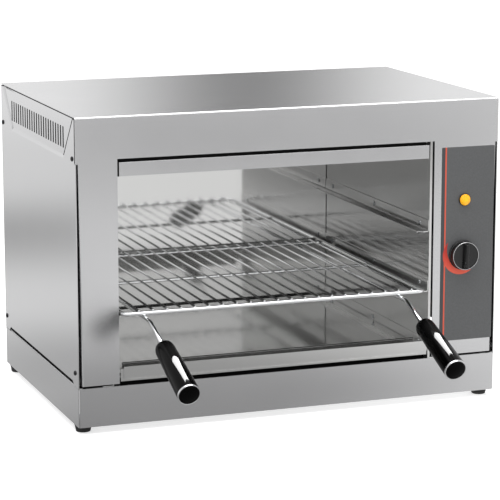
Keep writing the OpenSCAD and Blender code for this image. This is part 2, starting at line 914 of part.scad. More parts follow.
// Front lip of the tray with rounded lower corners
module lip_outline() {
    r = lip_corner;
    hull() {
        translate([tray_l + lip_in, tray_z + r])
            square([tray_r - tray_l - 2 * lip_in, lip_h - r]);
        for (x = [tray_l + lip_in + r, tray_r - lip_in - r])
            translate([x, tray_z + r])
                circle(r = r, $fn = fn_wire);
    }
}

// Lip with its folded return, floor, channel wall, side walls with rims, and rear wall
module crumb_tray() {
    pan_w = pan_r - pan_l;
    pan_d = pan_rear - pan_front;
    color("silver")
        union() {
            face_plate(front, tray_t)
                lip_outline();
            block(tray_l, front + tray_t - bead, tray_z - lip_under, tray_r - tray_l,
                tray_t + bead, lip_h - lip_return_in + lip_under);
            block(pan_l, front + tray_t / 2, tray_z, pan_w, pan_rear - front, tray_t);
            block(pan_l, pan_front, tray_z, pan_w, tray_t, lip_h);
            for (x = [pan_l, pan_r - tray_t])
                block(x, pan_front, tray_z, tray_t, pan_d, tray_rim + tray_t - tray_z);
            block(tray_l, pan_front, tray_rim, pan_l + tray_t - tray_l, pan_d, tray_t);
            block(pan_r - tray_t, pan_front, tray_rim, tray_r - pan_r + tray_t, pan_d, tray_t);
            block(pan_l, pan_rear - tray_t, tray_z, pan_w, tray_t, tray_rear_h);
        }
}

// Quarter bend of the frame wire in the XY plane, centred on a corner
module wire_corner(x, y, turn) {
    translate([x, y, frame_z])
        rotate([0, 0, turn])
            rotate_extrude(angle = 90, $fn = fn_round)
                translate([rack_corner, 0])
                    circle(d = frame_wire, $fn = fn_wire);
}

module rack_frame() {
    c = rack_corner;
    w = wire_r - wire_l;
    l = wire_rear - wire_front;
    color("lightgray")
        union() {
            for (y = [wire_front, wire_rear])
                rod_x(wire_l + c, y, frame_z, w - 2 * c, frame_wire, fn_wire);
            for (x = [wire_l, wire_r])
                rod_y(x, wire_front + c, frame_z, l - 2 * c, frame_wire, fn_wire);
            wire_corner(wire_l + c, wire_front + c, 180);
            wire_corner(wire_r - c, wire_front + c, 270);
            wire_corner(wire_r - c, wire_rear - c, 0);
            wire_corner(wire_l + c, wire_rear - c, 90);
            for (i = [1 : cross_count])
                rod_x(wire_l, wire_front + l * i / (cross_count + 1),
                    frame_z + (frame_wire - cross_wire) / 2, w, cross_wire, fn_wire);
        }
}

module rack_bars() {
    l = rack_rear - rack_front - 2 * bar_inset;
    color("lightgray")
        for (i = [1 : bar_count])
            rod_y(wire_l + i * bar_pitch, rack_front + bar_inset, bar_z, l, bar_wire, fn_small);
}

// Places a child past the bend of each handle rod, with Z along the grip
module at_rods() {
    for (x = rod_places)
        translate([x, front - rod_straight - rod_bend * sin(grip_angle),
            rod_z - rod_bend * (1 - cos(grip_angle))])
            rotate([90 + grip_angle, 0, 0])
                children();
}

module handle_rods() {
    l = rack_rear - rod_rear_in - front + rod_straight;
    color("lightgray")
        union() {
            for (x = rod_places) {
                rod_y(x, front - rod_straight, rod_z, l, rod_d, fn_wire);
                translate([x, front - rod_straight, rod_z - rod_bend])
                    rotate([0, -90, 0])
                        rotate([180, 0, 0])
                            rotate_extrude(angle = grip_angle, $fn = fn_round)
                                translate([rod_bend, 0])
                                    circle(d = rod_d, $fn = fn_wire);
                translate([x, front - rod_straight, rod_z])
                    sphere(d = rod_d + 2 * bead, $fn = fn_wire);
            }
            at_rods() {
                sphere(d = rod_d + 2 * bead, $fn = fn_wire);
                cylinder(h = rod_neck + rod_socket, d = rod_d, $fn = fn_wire);
            }
        }
}

// Half section of a grip: radius, then distance from its inner end
module grip_outline() {
    core = grip_d / 2 - grip_ring;
    polygon([[0, 0], [0.22 * grip_inner_d, 0], [0.38 * grip_inner_d, grip_shoulder / 6],
        [0.47 * grip_inner_d, grip_shoulder / 2], [grip_inner_d / 2, grip_shoulder],
        [grip_d / 2, grip_l - grip_shoulder], [grip_d / 2, grip_l - grip_ring_l],
        [core, grip_l - grip_ring_l], [core, grip_l], [0, grip_l]]);
}

module handle_grips() {
    color("black")
        at_rods()
            difference() {
                translate([0, 0, rod_neck])
                    rotate_extrude($fn = fn_round)
                        grip_outline();
                cylinder(h = rod_neck + rod_socket, d = rod_d + 2 * fit, $fn = fn_wire);
            }
}

module grip_rings() {
    hole = grip_d - 2 * grip_ring + 2 * fit;
    color("silver")
        at_rods()
            translate([0, 0, rod_neck + grip_l - grip_ring_l])
                difference() {
                    cylinder(h = grip_ring_l, d = grip_d, $fn = fn_round);
                    rod_up(0, 0, -over, grip_ring_l + 2 * over, hole, fn_round);
                }
}

module control_label() {
    color("dimgray")
        difference() {
            block(label_l, label_y, deck + label_up, label_w, label_t - touch, label_h);
            rod_y(knob_x, label_y - over, knob_z, label_t + 2 * over, bushing_d + 4 * fit, fn_wire);
            rod_y(lamp_x, label_y - over, lamp_z, label_t + 2 * over, lamp_body_d + 4 * fit, fn_wire);
        }
}

module lamp_lens() {
    r = lamp_d / 2;
    h = lamp_lens_h;
    color("orange")
        translate([lamp_x, label_y - lamp_flange, lamp_z])
            rotate([90, 0, 0])
                rotate_extrude($fn = fn_round)
                    polygon([[0, 0], [r, 0], [r, h / 3], [0.84 * r, 0.72 * h], [0.56 * r, 0.9 * h], [0, h]]);
}

module lamp_body() {
    nut_d = lamp_d + over / 2;
    color("black")
        union() {
            rod_y(lamp_x, label_y - lamp_flange, lamp_z, lamp_flange - touch, lamp_d + lamp_flange,
                fn_round);
            rod_y(lamp_x, label_y - lamp_flange / 2, lamp_z, lamp_body_l, lamp_body_d, fn_wire);
            rod_y(lamp_x, front + sheet + bead, lamp_z, regulator_nut_h, nut_d, fn_wire);
        }
}

// Skirt, body and grip bar, bored for the shaft and grooved for the ring
module knob() {
    body_z = knob_l - knob_skirt + over;
    bar_l = 0.88 * knob_d;
    color("black")
        difference() {
            union() {
                rod_y(knob_x, knob_back - knob_skirt, knob_z, knob_skirt, knob_d, fn_round);
                translate([knob_x, knob_back - knob_skirt + over, knob_z])
                    rotate([90, 0, 0])
                        cylinder(h = body_z, d1 = knob_d - 2, d2 = knob_d - knob_skirt, $fn = fn_round);
                block(knob_x - knob_bar_w / 2, knob_face - knob_bar_h, knob_z - bar_l / 2, knob_bar_w,
                    knob_bar_h + over, bar_l);
            }
            rod_y(knob_x, shaft_tip - rest_gap, knob_z, knob_l, shaft_d + 2 * fit, fn_wire);
            translate([knob_x, knob_face - over, knob_z])
                rotate([-90, 0, 0])
                    difference() {
                        cylinder(h = knob_ring_h + over, d = knob_d, $fn = fn_round);
                        rod_up(0, 0, -over, knob_l, knob_d - knob_skirt - 2 * knob_ring_w, fn_round);
                    }
        }
}

module knob_ring() {
    hole = knob_d - knob_skirt - 2 * knob_ring_w + 2 * fit;
    color("silver")
        translate([knob_x, knob_face, knob_z])
            rotate([-90, 0, 0])
                difference() {
                    cylinder(h = knob_ring_h - touch, d = knob_d - knob_skirt, $fn = fn_round);
                    rod_up(0, 0, -over, knob_l, hole, fn_round);
                }
}

// Housing with its bushing through the casing front and two terminal tags
module regulator_body() {
    tag_w = regulator_w / 7;
    tag_l = regulator_d / 4;
    bore_y = label_y - over;
    color("ivory")
        union() {
            difference() {
                union() {
                    block(knob_x - regulator_w / 2, regulator_y, knob_z - regulator_h / 2, regulator_w,
                        regulator_d, regulator_h);
                    rod_y(knob_x, label_y + bead, knob_z, regulator_y - label_y + over, bushing_d, fn_wire);
                }
                rod_y(knob_x, bore_y, knob_z, regulator_y + regulator_d / 2 + rest_gap - bore_y,
                    shaft_d + 2 * fit, fn_wire);
            }
            for (i = [-2, 2])
                block(knob_x + (i - 0.5) * tag_w, regulator_y + regulator_d - over,
                    knob_z - regulator_h / 4, tag_w, tag_l, liner);
        }
}

module regulator_shaft() {
    color("silver")
        rod_y(knob_x, shaft_tip, knob_z, regulator_y + regulator_d / 2 - shaft_tip, shaft_d, fn_wire);
}

module regulator_nut() {
    color("silver")
        difference() {
            rod_y(knob_x, front + sheet + bead, knob_z, regulator_nut_h, 1.6 * bushing_d, 6);
            rod_y(knob_x, front, knob_z, 2 * regulator_nut_h, bushing_d + 2 * fit, fn_wire);
        }
}

module terminal_block() {
    x = wall_r + terminal_in;
    y = rear - terminal_back;
    pitch = terminal_l / terminal_count;
    color("white")
        difference() {
            block(x, y, deck + touch, terminal_w, terminal_l, terminal_h);
            for (i = [0 : terminal_count - 1])
                rod_up(x + terminal_w / 2, y + (i + 0.5) * pitch, deck + terminal_h / 2, terminal_h,
                    foot_screw_d, fn_small);
        }
}

// Gland through the rear panel: thread inside, hexagon and tapered cap outside
module cable_gland() {
    hex_h = gland_out / 3;
    inside = gland_out + over;
    color("black")
        translate([gland_x, rear, gland_z])
            rotate([-90, 0, 0])
                difference() {
                    union() {
                        rod_up(0, 0, -inside, inside + over, 0.8 * gland_d, fn_wire);
                        rod_up(0, 0, touch, hex_h, gland_d, 6);
                        translate([0, 0, hex_h - over])
                            cylinder(h = gland_out - hex_h + over, d1 = 0.95 * gland_d,
                                d2 = 0.7 * gland_d, $fn = fn_wire);
                    }
                    rod_up(0, 0, -2 * inside, 4 * inside, 0.45 * gland_d, fn_wire);
                }
}

module gland_nut() {
    h = gland_out / 3;
    color("black")
        translate([gland_x, rear - sheet - h - bead, gland_z])
            rotate([-90, 0, 0])
                difference() {
                    rod_up(0, 0, 0, h, 1.1 * gland_d, 6);
                    rod_up(0, 0, -over, h + 2 * over, 0.8 * gland_d + 2 * fit, fn_wire);
                }
}

base_plinth();
foot_rails();
feet();
foot_screws();
hood();
side_panel_left();
side_panel_right();
rear_panel();
panel_screws();
front_sill();
chamber_wall_left();
chamber_wall_right();
chamber_wall_rear();
reflector();
element_shield();
heating_elements();
element_hangers();
runners_left();
runners_right();
runner_rivets();
deck_bolts();
crumb_tray();
rack_frame();
rack_bars();
handle_rods();
handle_grips();
grip_rings();
control_label();
lamp_lens();
lamp_body();
knob();
knob_ring();
regulator_shaft();
regulator_body();
regulator_nut();
terminal_block();
cable_gland();
gland_nut();
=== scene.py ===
import math

import bmesh
import bpy
from mathutils import Matrix, Vector


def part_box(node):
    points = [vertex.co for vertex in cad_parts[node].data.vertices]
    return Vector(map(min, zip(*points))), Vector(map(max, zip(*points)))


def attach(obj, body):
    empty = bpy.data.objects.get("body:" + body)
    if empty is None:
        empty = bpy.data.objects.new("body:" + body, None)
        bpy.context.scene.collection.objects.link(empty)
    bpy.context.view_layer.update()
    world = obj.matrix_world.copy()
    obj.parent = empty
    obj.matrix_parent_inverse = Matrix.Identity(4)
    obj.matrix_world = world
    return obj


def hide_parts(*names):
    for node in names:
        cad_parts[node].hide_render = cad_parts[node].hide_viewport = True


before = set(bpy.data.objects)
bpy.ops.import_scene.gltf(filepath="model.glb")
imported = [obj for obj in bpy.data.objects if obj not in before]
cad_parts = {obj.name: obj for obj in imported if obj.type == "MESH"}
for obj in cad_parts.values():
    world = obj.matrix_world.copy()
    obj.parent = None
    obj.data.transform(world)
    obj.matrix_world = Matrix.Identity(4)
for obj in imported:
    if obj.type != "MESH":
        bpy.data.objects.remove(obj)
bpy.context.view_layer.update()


# ---------- Plinth
# The plinth is a shallow tray of 1.2 mm stainless sheet turned upside down, deck on top.
# Deck and skirts are one folded blank: the folds are slightly round, the corners stay open.

# Sizes are in millimetres until a mesh is finished; two places closer than near are the same.
mm = 0.001
near = 0.01


def box_mm(node):
    """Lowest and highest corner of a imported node, in millimetres."""
    low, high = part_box(node)
    return Vector(low) * 1000, Vector(high) * 1000


def verts_of(geom):
    """The vertices in what a mesh operator returns."""
    return [g for g in geom if isinstance(g, bmesh.types.BMVert)]


def middle(edge):
    """The middle point of an edge."""
    return (edge.verts[0].co + edge.verts[1].co) / 2


def cut(bm, point, normal, keep_out=None):
    """Cuts the faces along a plane, leaving out those that keep_out names."""
    faces = [f for f in bm.faces if keep_out is None or not keep_out(f.calc_center_median())]
    geom = set(faces)
    for f in faces:
        geom.update(f.edges)
        geom.update(f.verts)
    bmesh.ops.bisect_plane(bm, geom=list(geom), dist=1e-5, plane_co=point, plane_no=normal)


def cut_at(bm, axis, places, keep_out=None):
    """Cuts the faces square to an axis at each of some places on it."""
    normal = Vector([float(letter == axis) for letter in "XYZ"])
    for place in places:
        cut(bm, normal * place, normal, keep_out)


def drop_faces(bm, inside):
    """Takes out the faces whose middle the test holds for."""
    gone = [f for f in bm.faces if inside(f.calc_center_median())]
    bmesh.ops.delete(bm, geom=gone, context="FACES")


def move(bm, verts, way):
    """Shifts vertices."""
    bmesh.ops.translate(bm, verts=verts, vec=way)


def resize(bm, verts, shares, centre=Vector()):
    """Scales vertices about a centre, with one share for each axis."""
    bmesh.ops.scale(bm, verts=verts, vec=shares, space=Matrix.Translation(-centre))


def pull(bm, edges, way):
    """Draws edges along a way, which makes new faces, and gives back what is new."""
    new = bmesh.ops.extrude_edge_only(bm, edges=edges)["geom"]
    move(bm, verts_of(new), way)
    return new


def turn(bm, chosen, way):
    """Folds a flange out along the open edges whose middle the test holds for."""
    pull(bm, [e for e in bm.edges if e.is_boundary and chosen(middle(e))], way)


def sweep(bm, corners, way):
    """Open folded strip: a few corner points joined in order and drawn along one direction."""
    verts = [bm.verts.new(c) for c in corners]
    pull(bm, [bm.edges.new(pair) for pair in zip(verts, verts[1:])], way)


def tidy_sheet(bm, toward, clear_cuts=True):
    """Merges doubles, clears cut lines from the flats and turns the good side one way."""
    bmesh.ops.remove_doubles(bm, verts=bm.verts, dist=1e-4)
    if clear_cuts:
        bmesh.ops.dissolve_limit(bm, angle_limit=math.radians(0.5), verts=bm.verts, edges=bm.edges)
    bmesh.ops.recalc_face_normals(bm, faces=bm.faces)
    if sum(f.calc_area() * f.normal.dot(Vector(toward)) for f in bm.faces) < 0:
        bmesh.ops.reverse_faces(bm, faces=bm.faces)


def round_folds(bm, radius, steps, chosen=lambda place: True):
    """Gives the folds of a sheet their bend radius."""
    folds = [e for e in bm.edges if len(e.link_faces) == 2 and e.calc_face_angle() > 0.3
             and chosen(middle(e))]
    bmesh.ops.bevel(bm, geom=folds, offset=radius, offset_type="OFFSET", affect="EDGES",
                    segments=steps, profile=0.5, material=-1, clamp_overlap=True)


def mesh_object(name, bm, material):
    """Puts a mesh into the scene as an object with its material."""
    mesh = bpy.data.meshes.new(name)
    bm.to_mesh(mesh)
    bm.free()
    mesh.materials.append(material)
    obj = bpy.data.objects.new(name, mesh)
    bpy.context.scene.collection.objects.link(obj)
    return obj


def modify(obj, name, kind, **settings):
    """Adds a modifier with its settings."""
    made = obj.modifiers.new(name, kind)
    for setting, value in settings.items():
        setattr(made, setting, value)


def piece(name, bm, material, body, nodes, gauge=0.0, edge=0.0, angle=35):
    """Turns a mesh drawn in millimetres into a finished piece that rides on a body."""
    resize(bm, bm.verts, (mm, mm, mm))
    obj = mesh_object(name, bm, material)
    obj.data.shade_smooth()
    obj.data.set_sharp_from_angle(angle=math.radians(angle))
    if gauge:
        modify(obj, "gauge", "SOLIDIFY", thickness=gauge * mm, offset=-1, use_even_offset=True)
    if edge:
        modify(obj, "edge", "BEVEL", width=edge * mm, segments=2, limit_method="ANGLE",
               angle_limit=math.radians(40), harden_normals=True)
    if gauge or edge:
        modify(obj, "flats", "WEIGHTED_NORMAL", keep_sharp=not edge)
    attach(obj, body)
    if nodes:
        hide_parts(*nodes)
    return obj


def linear(hex_colour):
    """An sRGB hex colour as the linear values that a shader takes."""
    parts = [int(hex_colour[i:i + 2], 16) / 255 for i in (1, 3, 5)]
    return [p / 12.92 if p < 0.04045 else ((p + 0.055) / 1.055) ** 2.4 for p in parts] + [1.0]


def add(tree, kind, inputs=None, **settings):
    """Adds a shader node with its settings, values and links."""
    made = tree.nodes.new("ShaderNode" + kind)
    for name, value in settings.items():
        setattr(made, name, value)
    for name, value in (inputs or {}).items():
        if isinstance(value, bpy.types.NodeSocket):
            tree.links.new(value, made.inputs[name])
        else:
            made.inputs[name].default_value = value
    return made


def noise(tree, place, scale, detail, rough):
    """Uneven values between 0 and 1."""
    return add(tree, "TexNoise", {"Vector": place, "Scale": scale, "Detail": detail,
                                  "Roughness": rough}).outputs["Fac"]


def maths(tree, operation, *values, **settings):
    """One operation on a few values."""
    return add(tree, "Math", dict(enumerate(values)), operation=operation, **settings).outputs[0]


def remap(tree, value, low, high, to_low=0.0, to_high=1.0, **settings):
    """A value between low and high, as one between to_low and to_high."""
    return add(tree, "MapRange", {"Value": value, "From Min": low, "From Max": high,
                                  "To Min": to_low, "To Max": to_high}, **settings).outputs[0]


def bump(tree, height, strength, distance, **under):
    """A relief from a height, over the relief that is given as Normal."""
    return add(tree, "Bump", {"Height": height, "Strength": strength, "Distance": distance,
                              **under}).outputs[0]


def principled(tree, colour, rough, more):
    """The surface shader with its colour, its roughness and further inputs."""
    return add(tree, "BsdfPrincipled", {"Base Color": colour, "Roughness": rough,
                                        **more}).outputs[0]


def either(tree, share, first, second):
    """The first shader where the share is 0, the second where it is 1."""
    return add(tree, "MixShader", {0: share, 1: first, 2: second}).outputs[0]


def blank_material(name):
    """A material without nodes, its node tree and the place in the object's own frame."""
    material = bpy.data.materials.new(name)
    material.use_nodes = True
    tree = material.node_tree
    tree.nodes.clear()
    return material, tree, add(tree, "TexCoord").outputs["Object"]


def stainless(name, grain, colour, rough, spread, grain_bump, waviness, haze=0.0):
    """Stainless sheet: a fine grain along one axis over the slow waviness of rolled sheet."""
    material, tree, place = blank_material(name)
    # The real grain is about 0.05 mm wide; it is drawn at 0.7 mm so that it shows at all.
    across, along, grain_depth = 1400.0, 9.0, 0.04 * mm
    stretch = [along if axis == grain else across for axis in "XYZ"]
    lines = add(tree, "Mapping", {"Vector": place, "Scale": stretch}).outputs[0]
    streaks = noise(tree, lines, 1.0, 3.0, 0.6)
    # Rolled sheet lies flat to about a tenth of a millimetre over a hand's width.
    swell = noise(tree, place, 5.5, 1.0, 0.4)
    cloud = noise(tree, place, 16.0, 4.0, 0.6)
    gloss = remap(tree, maths(tree, "ADD", streaks, cloud), 0.6, 1.4, rough - spread,
                  rough + spread)
    broad = bump(tree, swell, 1.0, waviness)
    fine = bump(tree, streaks, grain_bump, grain_depth, Normal=broad)
    metal = principled(tree, linear(colour), gloss, {"Metallic": 1.0, "Normal": fine})
    # The pits of the rolled skin scatter a share of the light widely.
    scatter = principled(tree, linear(colour), 0.55, {"Metallic": 1.0, "Normal": broad})
    add(tree, "OutputMaterial", {"Surface": either(tree, haze, metal, scatter)})
    return material


# Brushed 304 stainless, grain along the width: soft stretched reflections, even pale grey.
casing_steel = stainless("brushed_stainless_304", "X", "#CFCFD0", 0.21, 0.02, 0.12, 0.0003, 0.06)

low, high = box_mm("base_plinth")
corner_cut = 1.5
skirt = (0, 0, low.z - high.z)
plinth = bmesh.new()
bmesh.ops.create_grid(plinth, x_segments=1, y_segments=1, size=0.5)
resize(plinth, plinth.verts, (high.x - low.x, high.y - low.y, 1))
move(plinth, plinth.verts, ((low.x + high.x) / 2, (low.y + high.y) / 2, high.z))
cut_at(plinth, "X", (low.x + corner_cut, high.x - corner_cut))
cut_at(plinth, "Y", (low.y + corner_cut, high.y - corner_cut))
turn(plinth, lambda m: abs(m.x) < 1 + abs(low.x) - 2 * corner_cut, skirt)
turn(plinth, lambda m: m.z > high.z - 0.1 and low.y + 2 < m.y < high.y - 2, skirt)
tidy_sheet(plinth, (0, 0, 1))
round_folds(plinth, 2.4, 5)
piece("plinth_shell", plinth, casing_steel, "casing", ["base_plinth"], 1.2, 0.2)

# ---------- Feet
# Four turned feet of black rubber, each held up to a rail in the plinth by one screw.
# They are moulded, so the lower rim is round and a shallow groove runs round the flank.

def ring_copies(bm, places):
    """Repeats what is in the mesh at each place; the first copy is the one already there."""
    first = bm.verts[:] + bm.edges[:] + bm.faces[:]
    for spot in places[1:]:
        new = bmesh.ops.duplicate(bm, geom=first)["geom"]
        move(bm, verts_of(new), Vector(spot) - Vector(places[0]))


def turned(bm, outline, centre, axis, steps=48):
    """Turns an outline of (radius, distance) points about an axis through a centre."""
    axis = Vector(axis).normalized()
    side = axis.orthogonal().normalized()
    centre = Vector(centre)
    verts = [bm.verts.new(centre + side * r + axis * h) for r, h in outline]
    edges = [bm.edges.new(pair) for pair in zip(verts, verts[1:])]
    bmesh.ops.spin(bm, geom=verts + edges, cent=centre, axis=axis, angle=math.tau, steps=steps,
                   use_merge=True)
    bmesh.ops.remove_doubles(bm, verts=bm.verts, dist=1e-4)
    bmesh.ops.recalc_face_normals(bm, faces=bm.faces)


def mixed(tree, share, first, second, kind="RGBA"):
    """The first colour or value where the share is 0, the second where it is 1."""
    return add(tree, "Mix", {"Factor": share, "A": first, "B": second},
               data_type=kind).outputs["Result"]


def noise_material(name, colour, second, rough, spread, grain_mm, bump_mm, more={}):
    """Moulded, enamelled or plated matter: two close tones, uneven shine, a fine surface grain."""
    material, tree, place = blank_material(name)
    grain = noise(tree, place, 1 / (grain_mm * mm), 2.0, 0.5)
    cloud = noise(tree, place, 60.0, 4.0, 0.6)
    tone = mixed(tree, cloud, linear(colour), linear(second))
    gloss = remap(tree, cloud, 0.3, 0.7, rough - spread, rough + spread)
    relief = bump(tree, grain, 0.6, bump_mm * mm)
    look = principled(tree, tone, gloss, {"Normal": relief, **more})
    add(tree, "OutputMaterial", {"Surface": look})
    return material


# Natural rubber, moulded: dull black with a faint bloom.
foot_rubber = noise_material("moulded_rubber", "#1B1B1B", "#262626", 0.62, 0.08, 0.8, 0.02)

low, high = box_mm("feet")
foot_r, foot_low_r = 12.5, 10.5
foot_spots = [(x, y, 0) for x in (low.x + foot_r, high.x - foot_r)
              for y in (low.y + foot_r, high.y - foot_r)]
feet = bmesh.new()
turned(feet, [(0, 5.2), (5.6, 5.2), (5.6, 0.6), (6.4, 0), (foot_low_r - 1.2, 0),
              (foot_low_r - 0.3, 0.4), (foot_low_r, 1.3), (11.2, 4.6), (10.9, 5.1), (11.0, 5.7),
              (11.6, 6.0), (foot_r - 0.2, 9.4), (foot_r, 9.9), (foot_r - 0.3, 10.5), (0, 10.5)],
       foot_spots[0], (0, 0, 1))
ring_copies(feet, foot_spots)
piece("rubber_feet", feet, foot_rubber, "casing", ["feet"])

# ---------- Hood
# The hood is one sheet: top, bend along the front edge, hood band and the two posts.
# Below the band the posts step in 4 mm and fold back behind the side panels.

def across(bm, start, end, profile):
    """Folded strip with a profile of (y, z) points, drawn from one x to another."""
    sweep(bm, [(start, y, z) for y, z in profile], (end - start, 0, 0))


casing_low, casing_high = low, high = box_mm("hood")
post_low = low.z + 2.6
band_low = high.z - 65
step_in, post_flange, rear_flange = 4, 24, 21
opening_l, opening_r, opening_top = low.x + 60, high.x - 101, high.z - 60
hood = bmesh.new()
across(hood, low.x, high.x, [(high.y, high.z), (low.y, high.z), (low.y, post_low)])
on_front = lambda m: m.y < low.y + near
behind = lambda m: not on_front(m)
cut_at(hood, "X", (low.x + step_in, opening_l, opening_r, high.x - step_in), behind)
cut_at(hood, "Z", (band_low, opening_top), behind)
drop_faces(hood, lambda m: on_front(m) and m.z < band_low and abs(m.x) > high.x - step_in)
drop_faces(hood, lambda m: on_front(m) and m.z < opening_top and opening_l < m.x < opening_r)
turn(hood, lambda m: on_front(m) and m.z < band_low
     and abs(abs(m.x) - high.x + step_in) < near, (0, post_flange, 0))
tidy_sheet(hood, (0, -1, 1))
round_folds(hood, 3.2, 6, lambda m: m.z > high.z - 1)
round_folds(hood, 4.2, 7, lambda m: m.z < band_low)
across(hood, low.x + step_in, high.x - step_in,
       [(high.y - 1.5, high.z - rear_flange), (high.y - 1.5, high.z - 1.3)])
piece("hood_shell", hood, casing_steel, "casing", ["hood"], 1.2, 0.2)

# ---------- Side panels
# Each side is a stainless panel with a row of cut slots in a shallow pressed recess.
# Its foot is cut up 6 mm to leave an air gap over the plinth; its top is folded in.

# The same brushed sheet with its grain running from front to rear.
side_steel = stainless("brushed_stainless_side", "Y", "#CFCFD0", 0.18, 0.02, 0.12, 0.0003)

low, high = box_mm("side_panel_left")
x, front_y, top_z = low.x, low.y, high.z - 1.0
air_gap, flank, top_flange = 6, 21.5, 12
slots, slot_pitch, slot_half = 23, 13.05, 3
first_slot, row_low, row_high = front_y + 66.5, band_low + 14.5, band_low + 44.5
# The recess: how deep it is, its slanted border, and its front and rear end at foot and head.
recess_depth, border, slit = 1.8, 3.0, 9.0
foot_z, head_z = band_low + 1, band_low + 66
foot_front, foot_rear = front_y + 61, casing_high.y - 61
head_front, head_rear = front_y + 6, casing_high.y - 6


def blank(bm, corners):
    """A flat blank of sheet with the given corners."""
    bm.faces.new([bm.verts.new(c) for c in corners])


def past(m, foot, head):
    """How far a point lies behind a slanted end of the recess."""
    return m.y - foot - (m.z - foot_z) / (head_z - foot_z) * (head - foot)


def on_floor(m):
    """True inside the floor of the recess, its border left out."""
    return (m.z > foot_z + border - near and past(m, foot_front, head_front) > border - near
            and past(m, foot_rear, head_rear) < near - border)


def off_row(m):
    """True outside the row of slots."""
    return not (on_floor(m) and row_low < m.z < row_high)


def in_slot(m):
    """True inside one of the slots."""
    aside = (m.y - first_slot + slot_pitch / 2) % slot_pitch - slot_pitch / 2
    return (not off_row(m) and abs(aside) < slot_half - 0.1
            and -slot_pitch / 2 < m.y - first_slot < (slots - 0.5) * slot_pitch)


for side, name in ((-1, "side_panel_left"), (1, "side_panel_right")):
    panel = bmesh.new()
    blank(panel, [(x, y, z) for y, z in (
        (front_y + 0.6, low.z), (front_y + flank, low.z), (front_y + 30, low.z + air_gap),
        (high.y - 30, low.z + air_gap), (high.y - flank, low.z), (high.y, low.z),
        (high.y, top_z), (front_y + 5, top_z), (front_y + 5, band_low - 0.3),
        (front_y + 0.6, band_low - 0.3))])
    # The outline of the recess and that of its floor are cut in.
    for step in (0, border):
        cut_at(panel, "Z", [foot_z + step])
        cut(panel, (x, foot_front + step, foot_z), (0, head_z - foot_z, foot_front - head_front))
        cut(panel, (x, foot_rear - step, foot_z), (0, head_z - foot_z, foot_rear - head_rear))
    cut_at(panel, "Z", (row_low, row_high), lambda m: not on_floor(m))
    cut_at(panel, "Y", [first_slot + i * slot_pitch + shift for i in range(slots)
                        for shift in (-slot_half, slot_half)], off_row)
    drop_faces(panel, in_slot)
    # Along its front the recess is sheared, which leaves a narrow open slit.
    cut(panel, (x, foot_front + slit, foot_z), (0, head_z - foot_z, foot_front - head_front))
    drop_faces(panel, lambda m: foot_z + border < m.z < head_z
               and 0 < past(m, foot_front, head_front) < slit)
    # The floor is pressed inwards, and the top edge follows it into its flange.
    move(panel, [v for v in panel.verts if on_floor(v.co)], (recess_depth, 0, 0))
    turn(panel, lambda m: m.z > top_z - near and m.x > x + recess_depth - near,
         (top_flange, 0, 0))
    tidy_sheet(panel, (-1, 0, 0), clear_cuts=False)
    round_folds(panel, 0.7, 3, lambda m: m.z < top_z - 0.5)
    round_folds(panel, 1.2, 4, lambda m: m.z > top_z - 0.5 and m.x > x + 1)
    if side > 0:
        resize(panel, panel.verts, (-1, 1, 1))
        bmesh.ops.reverse_faces(panel, faces=panel.faces)
    piece(name + "_shell", panel, side_steel, "casing", [name], 1.2, 0.15)

# ---------- Rear panel
# A plain stainless panel with folded sides, screwed to the hood and to the side panels.
# One punched hole low in it, behind the controls' side, carries the cable gland.

def upright(bm, low, high, y):
    """A flat upright blank as wide and as high as a box."""
    blank(bm, [(low.x, y, low.z), (high.x, y, low.z), (high.x, y, high.z), (low.x, y, high.z)])


low, high = box_mm("rear_panel")
gland_at = sum(box_mm("cable_gland"), Vector()) / 2
gland_at.y = high.y
patch, hole_r, flange_depth = 20, 7.7, 24.5
rear = bmesh.new()
upright(rear, low, high, high.y)
# A square patch round the hole is taken out, and its edge is joined to the round rim.
cut_at(rear, "X", (gland_at.x - patch, gland_at.x + patch))
cut_at(rear, "Z", (gland_at.z - patch, gland_at.z + patch))
drop_faces(rear, lambda m: (m - gland_at).length < patch - 1)
patch_edges = lambda: [e for e in rear.edges if e.is_boundary
                       and (e.verts[0].co - gland_at).length < 1.45 * patch]
bmesh.ops.subdivide_edges(rear, edges=patch_edges(), cuts=7)
square = patch_edges()
hole = bmesh.ops.create_circle(rear, segments=32, radius=hole_r)["verts"]
bmesh.ops.rotate(rear, verts=hole, matrix=Matrix.Rotation(math.pi / 2, 3, "X"))
move(rear, hole, gland_at)
rim = list({e for v in hole for e in v.link_edges})
bmesh.ops.bridge_loops(rear, edges=square + rim)
tidy_sheet(rear, (0, 1, 0))
for x in (low.x + 3, high.x - 4.2):
    sweep(rear, [(x, high.y - flange_depth, low.z), (x, high.y - 0.7, low.z)],
          (0, 0, band_low + 21 - low.z))
piece("rear_panel_shell", rear, casing_steel, "casing", ["rear_panel"], 1.2, 0.15)

# ---------- Panel screws
# Black domed machine screws with a cross recess hold the side panels and the rear panel:
# four on each side, near the corners, and three along the top of the rear.

def edges_of(geom):
    """The edges in what a mesh operator returns."""
    return [g for g in geom if isinstance(g, bmesh.types.BMEdge)]


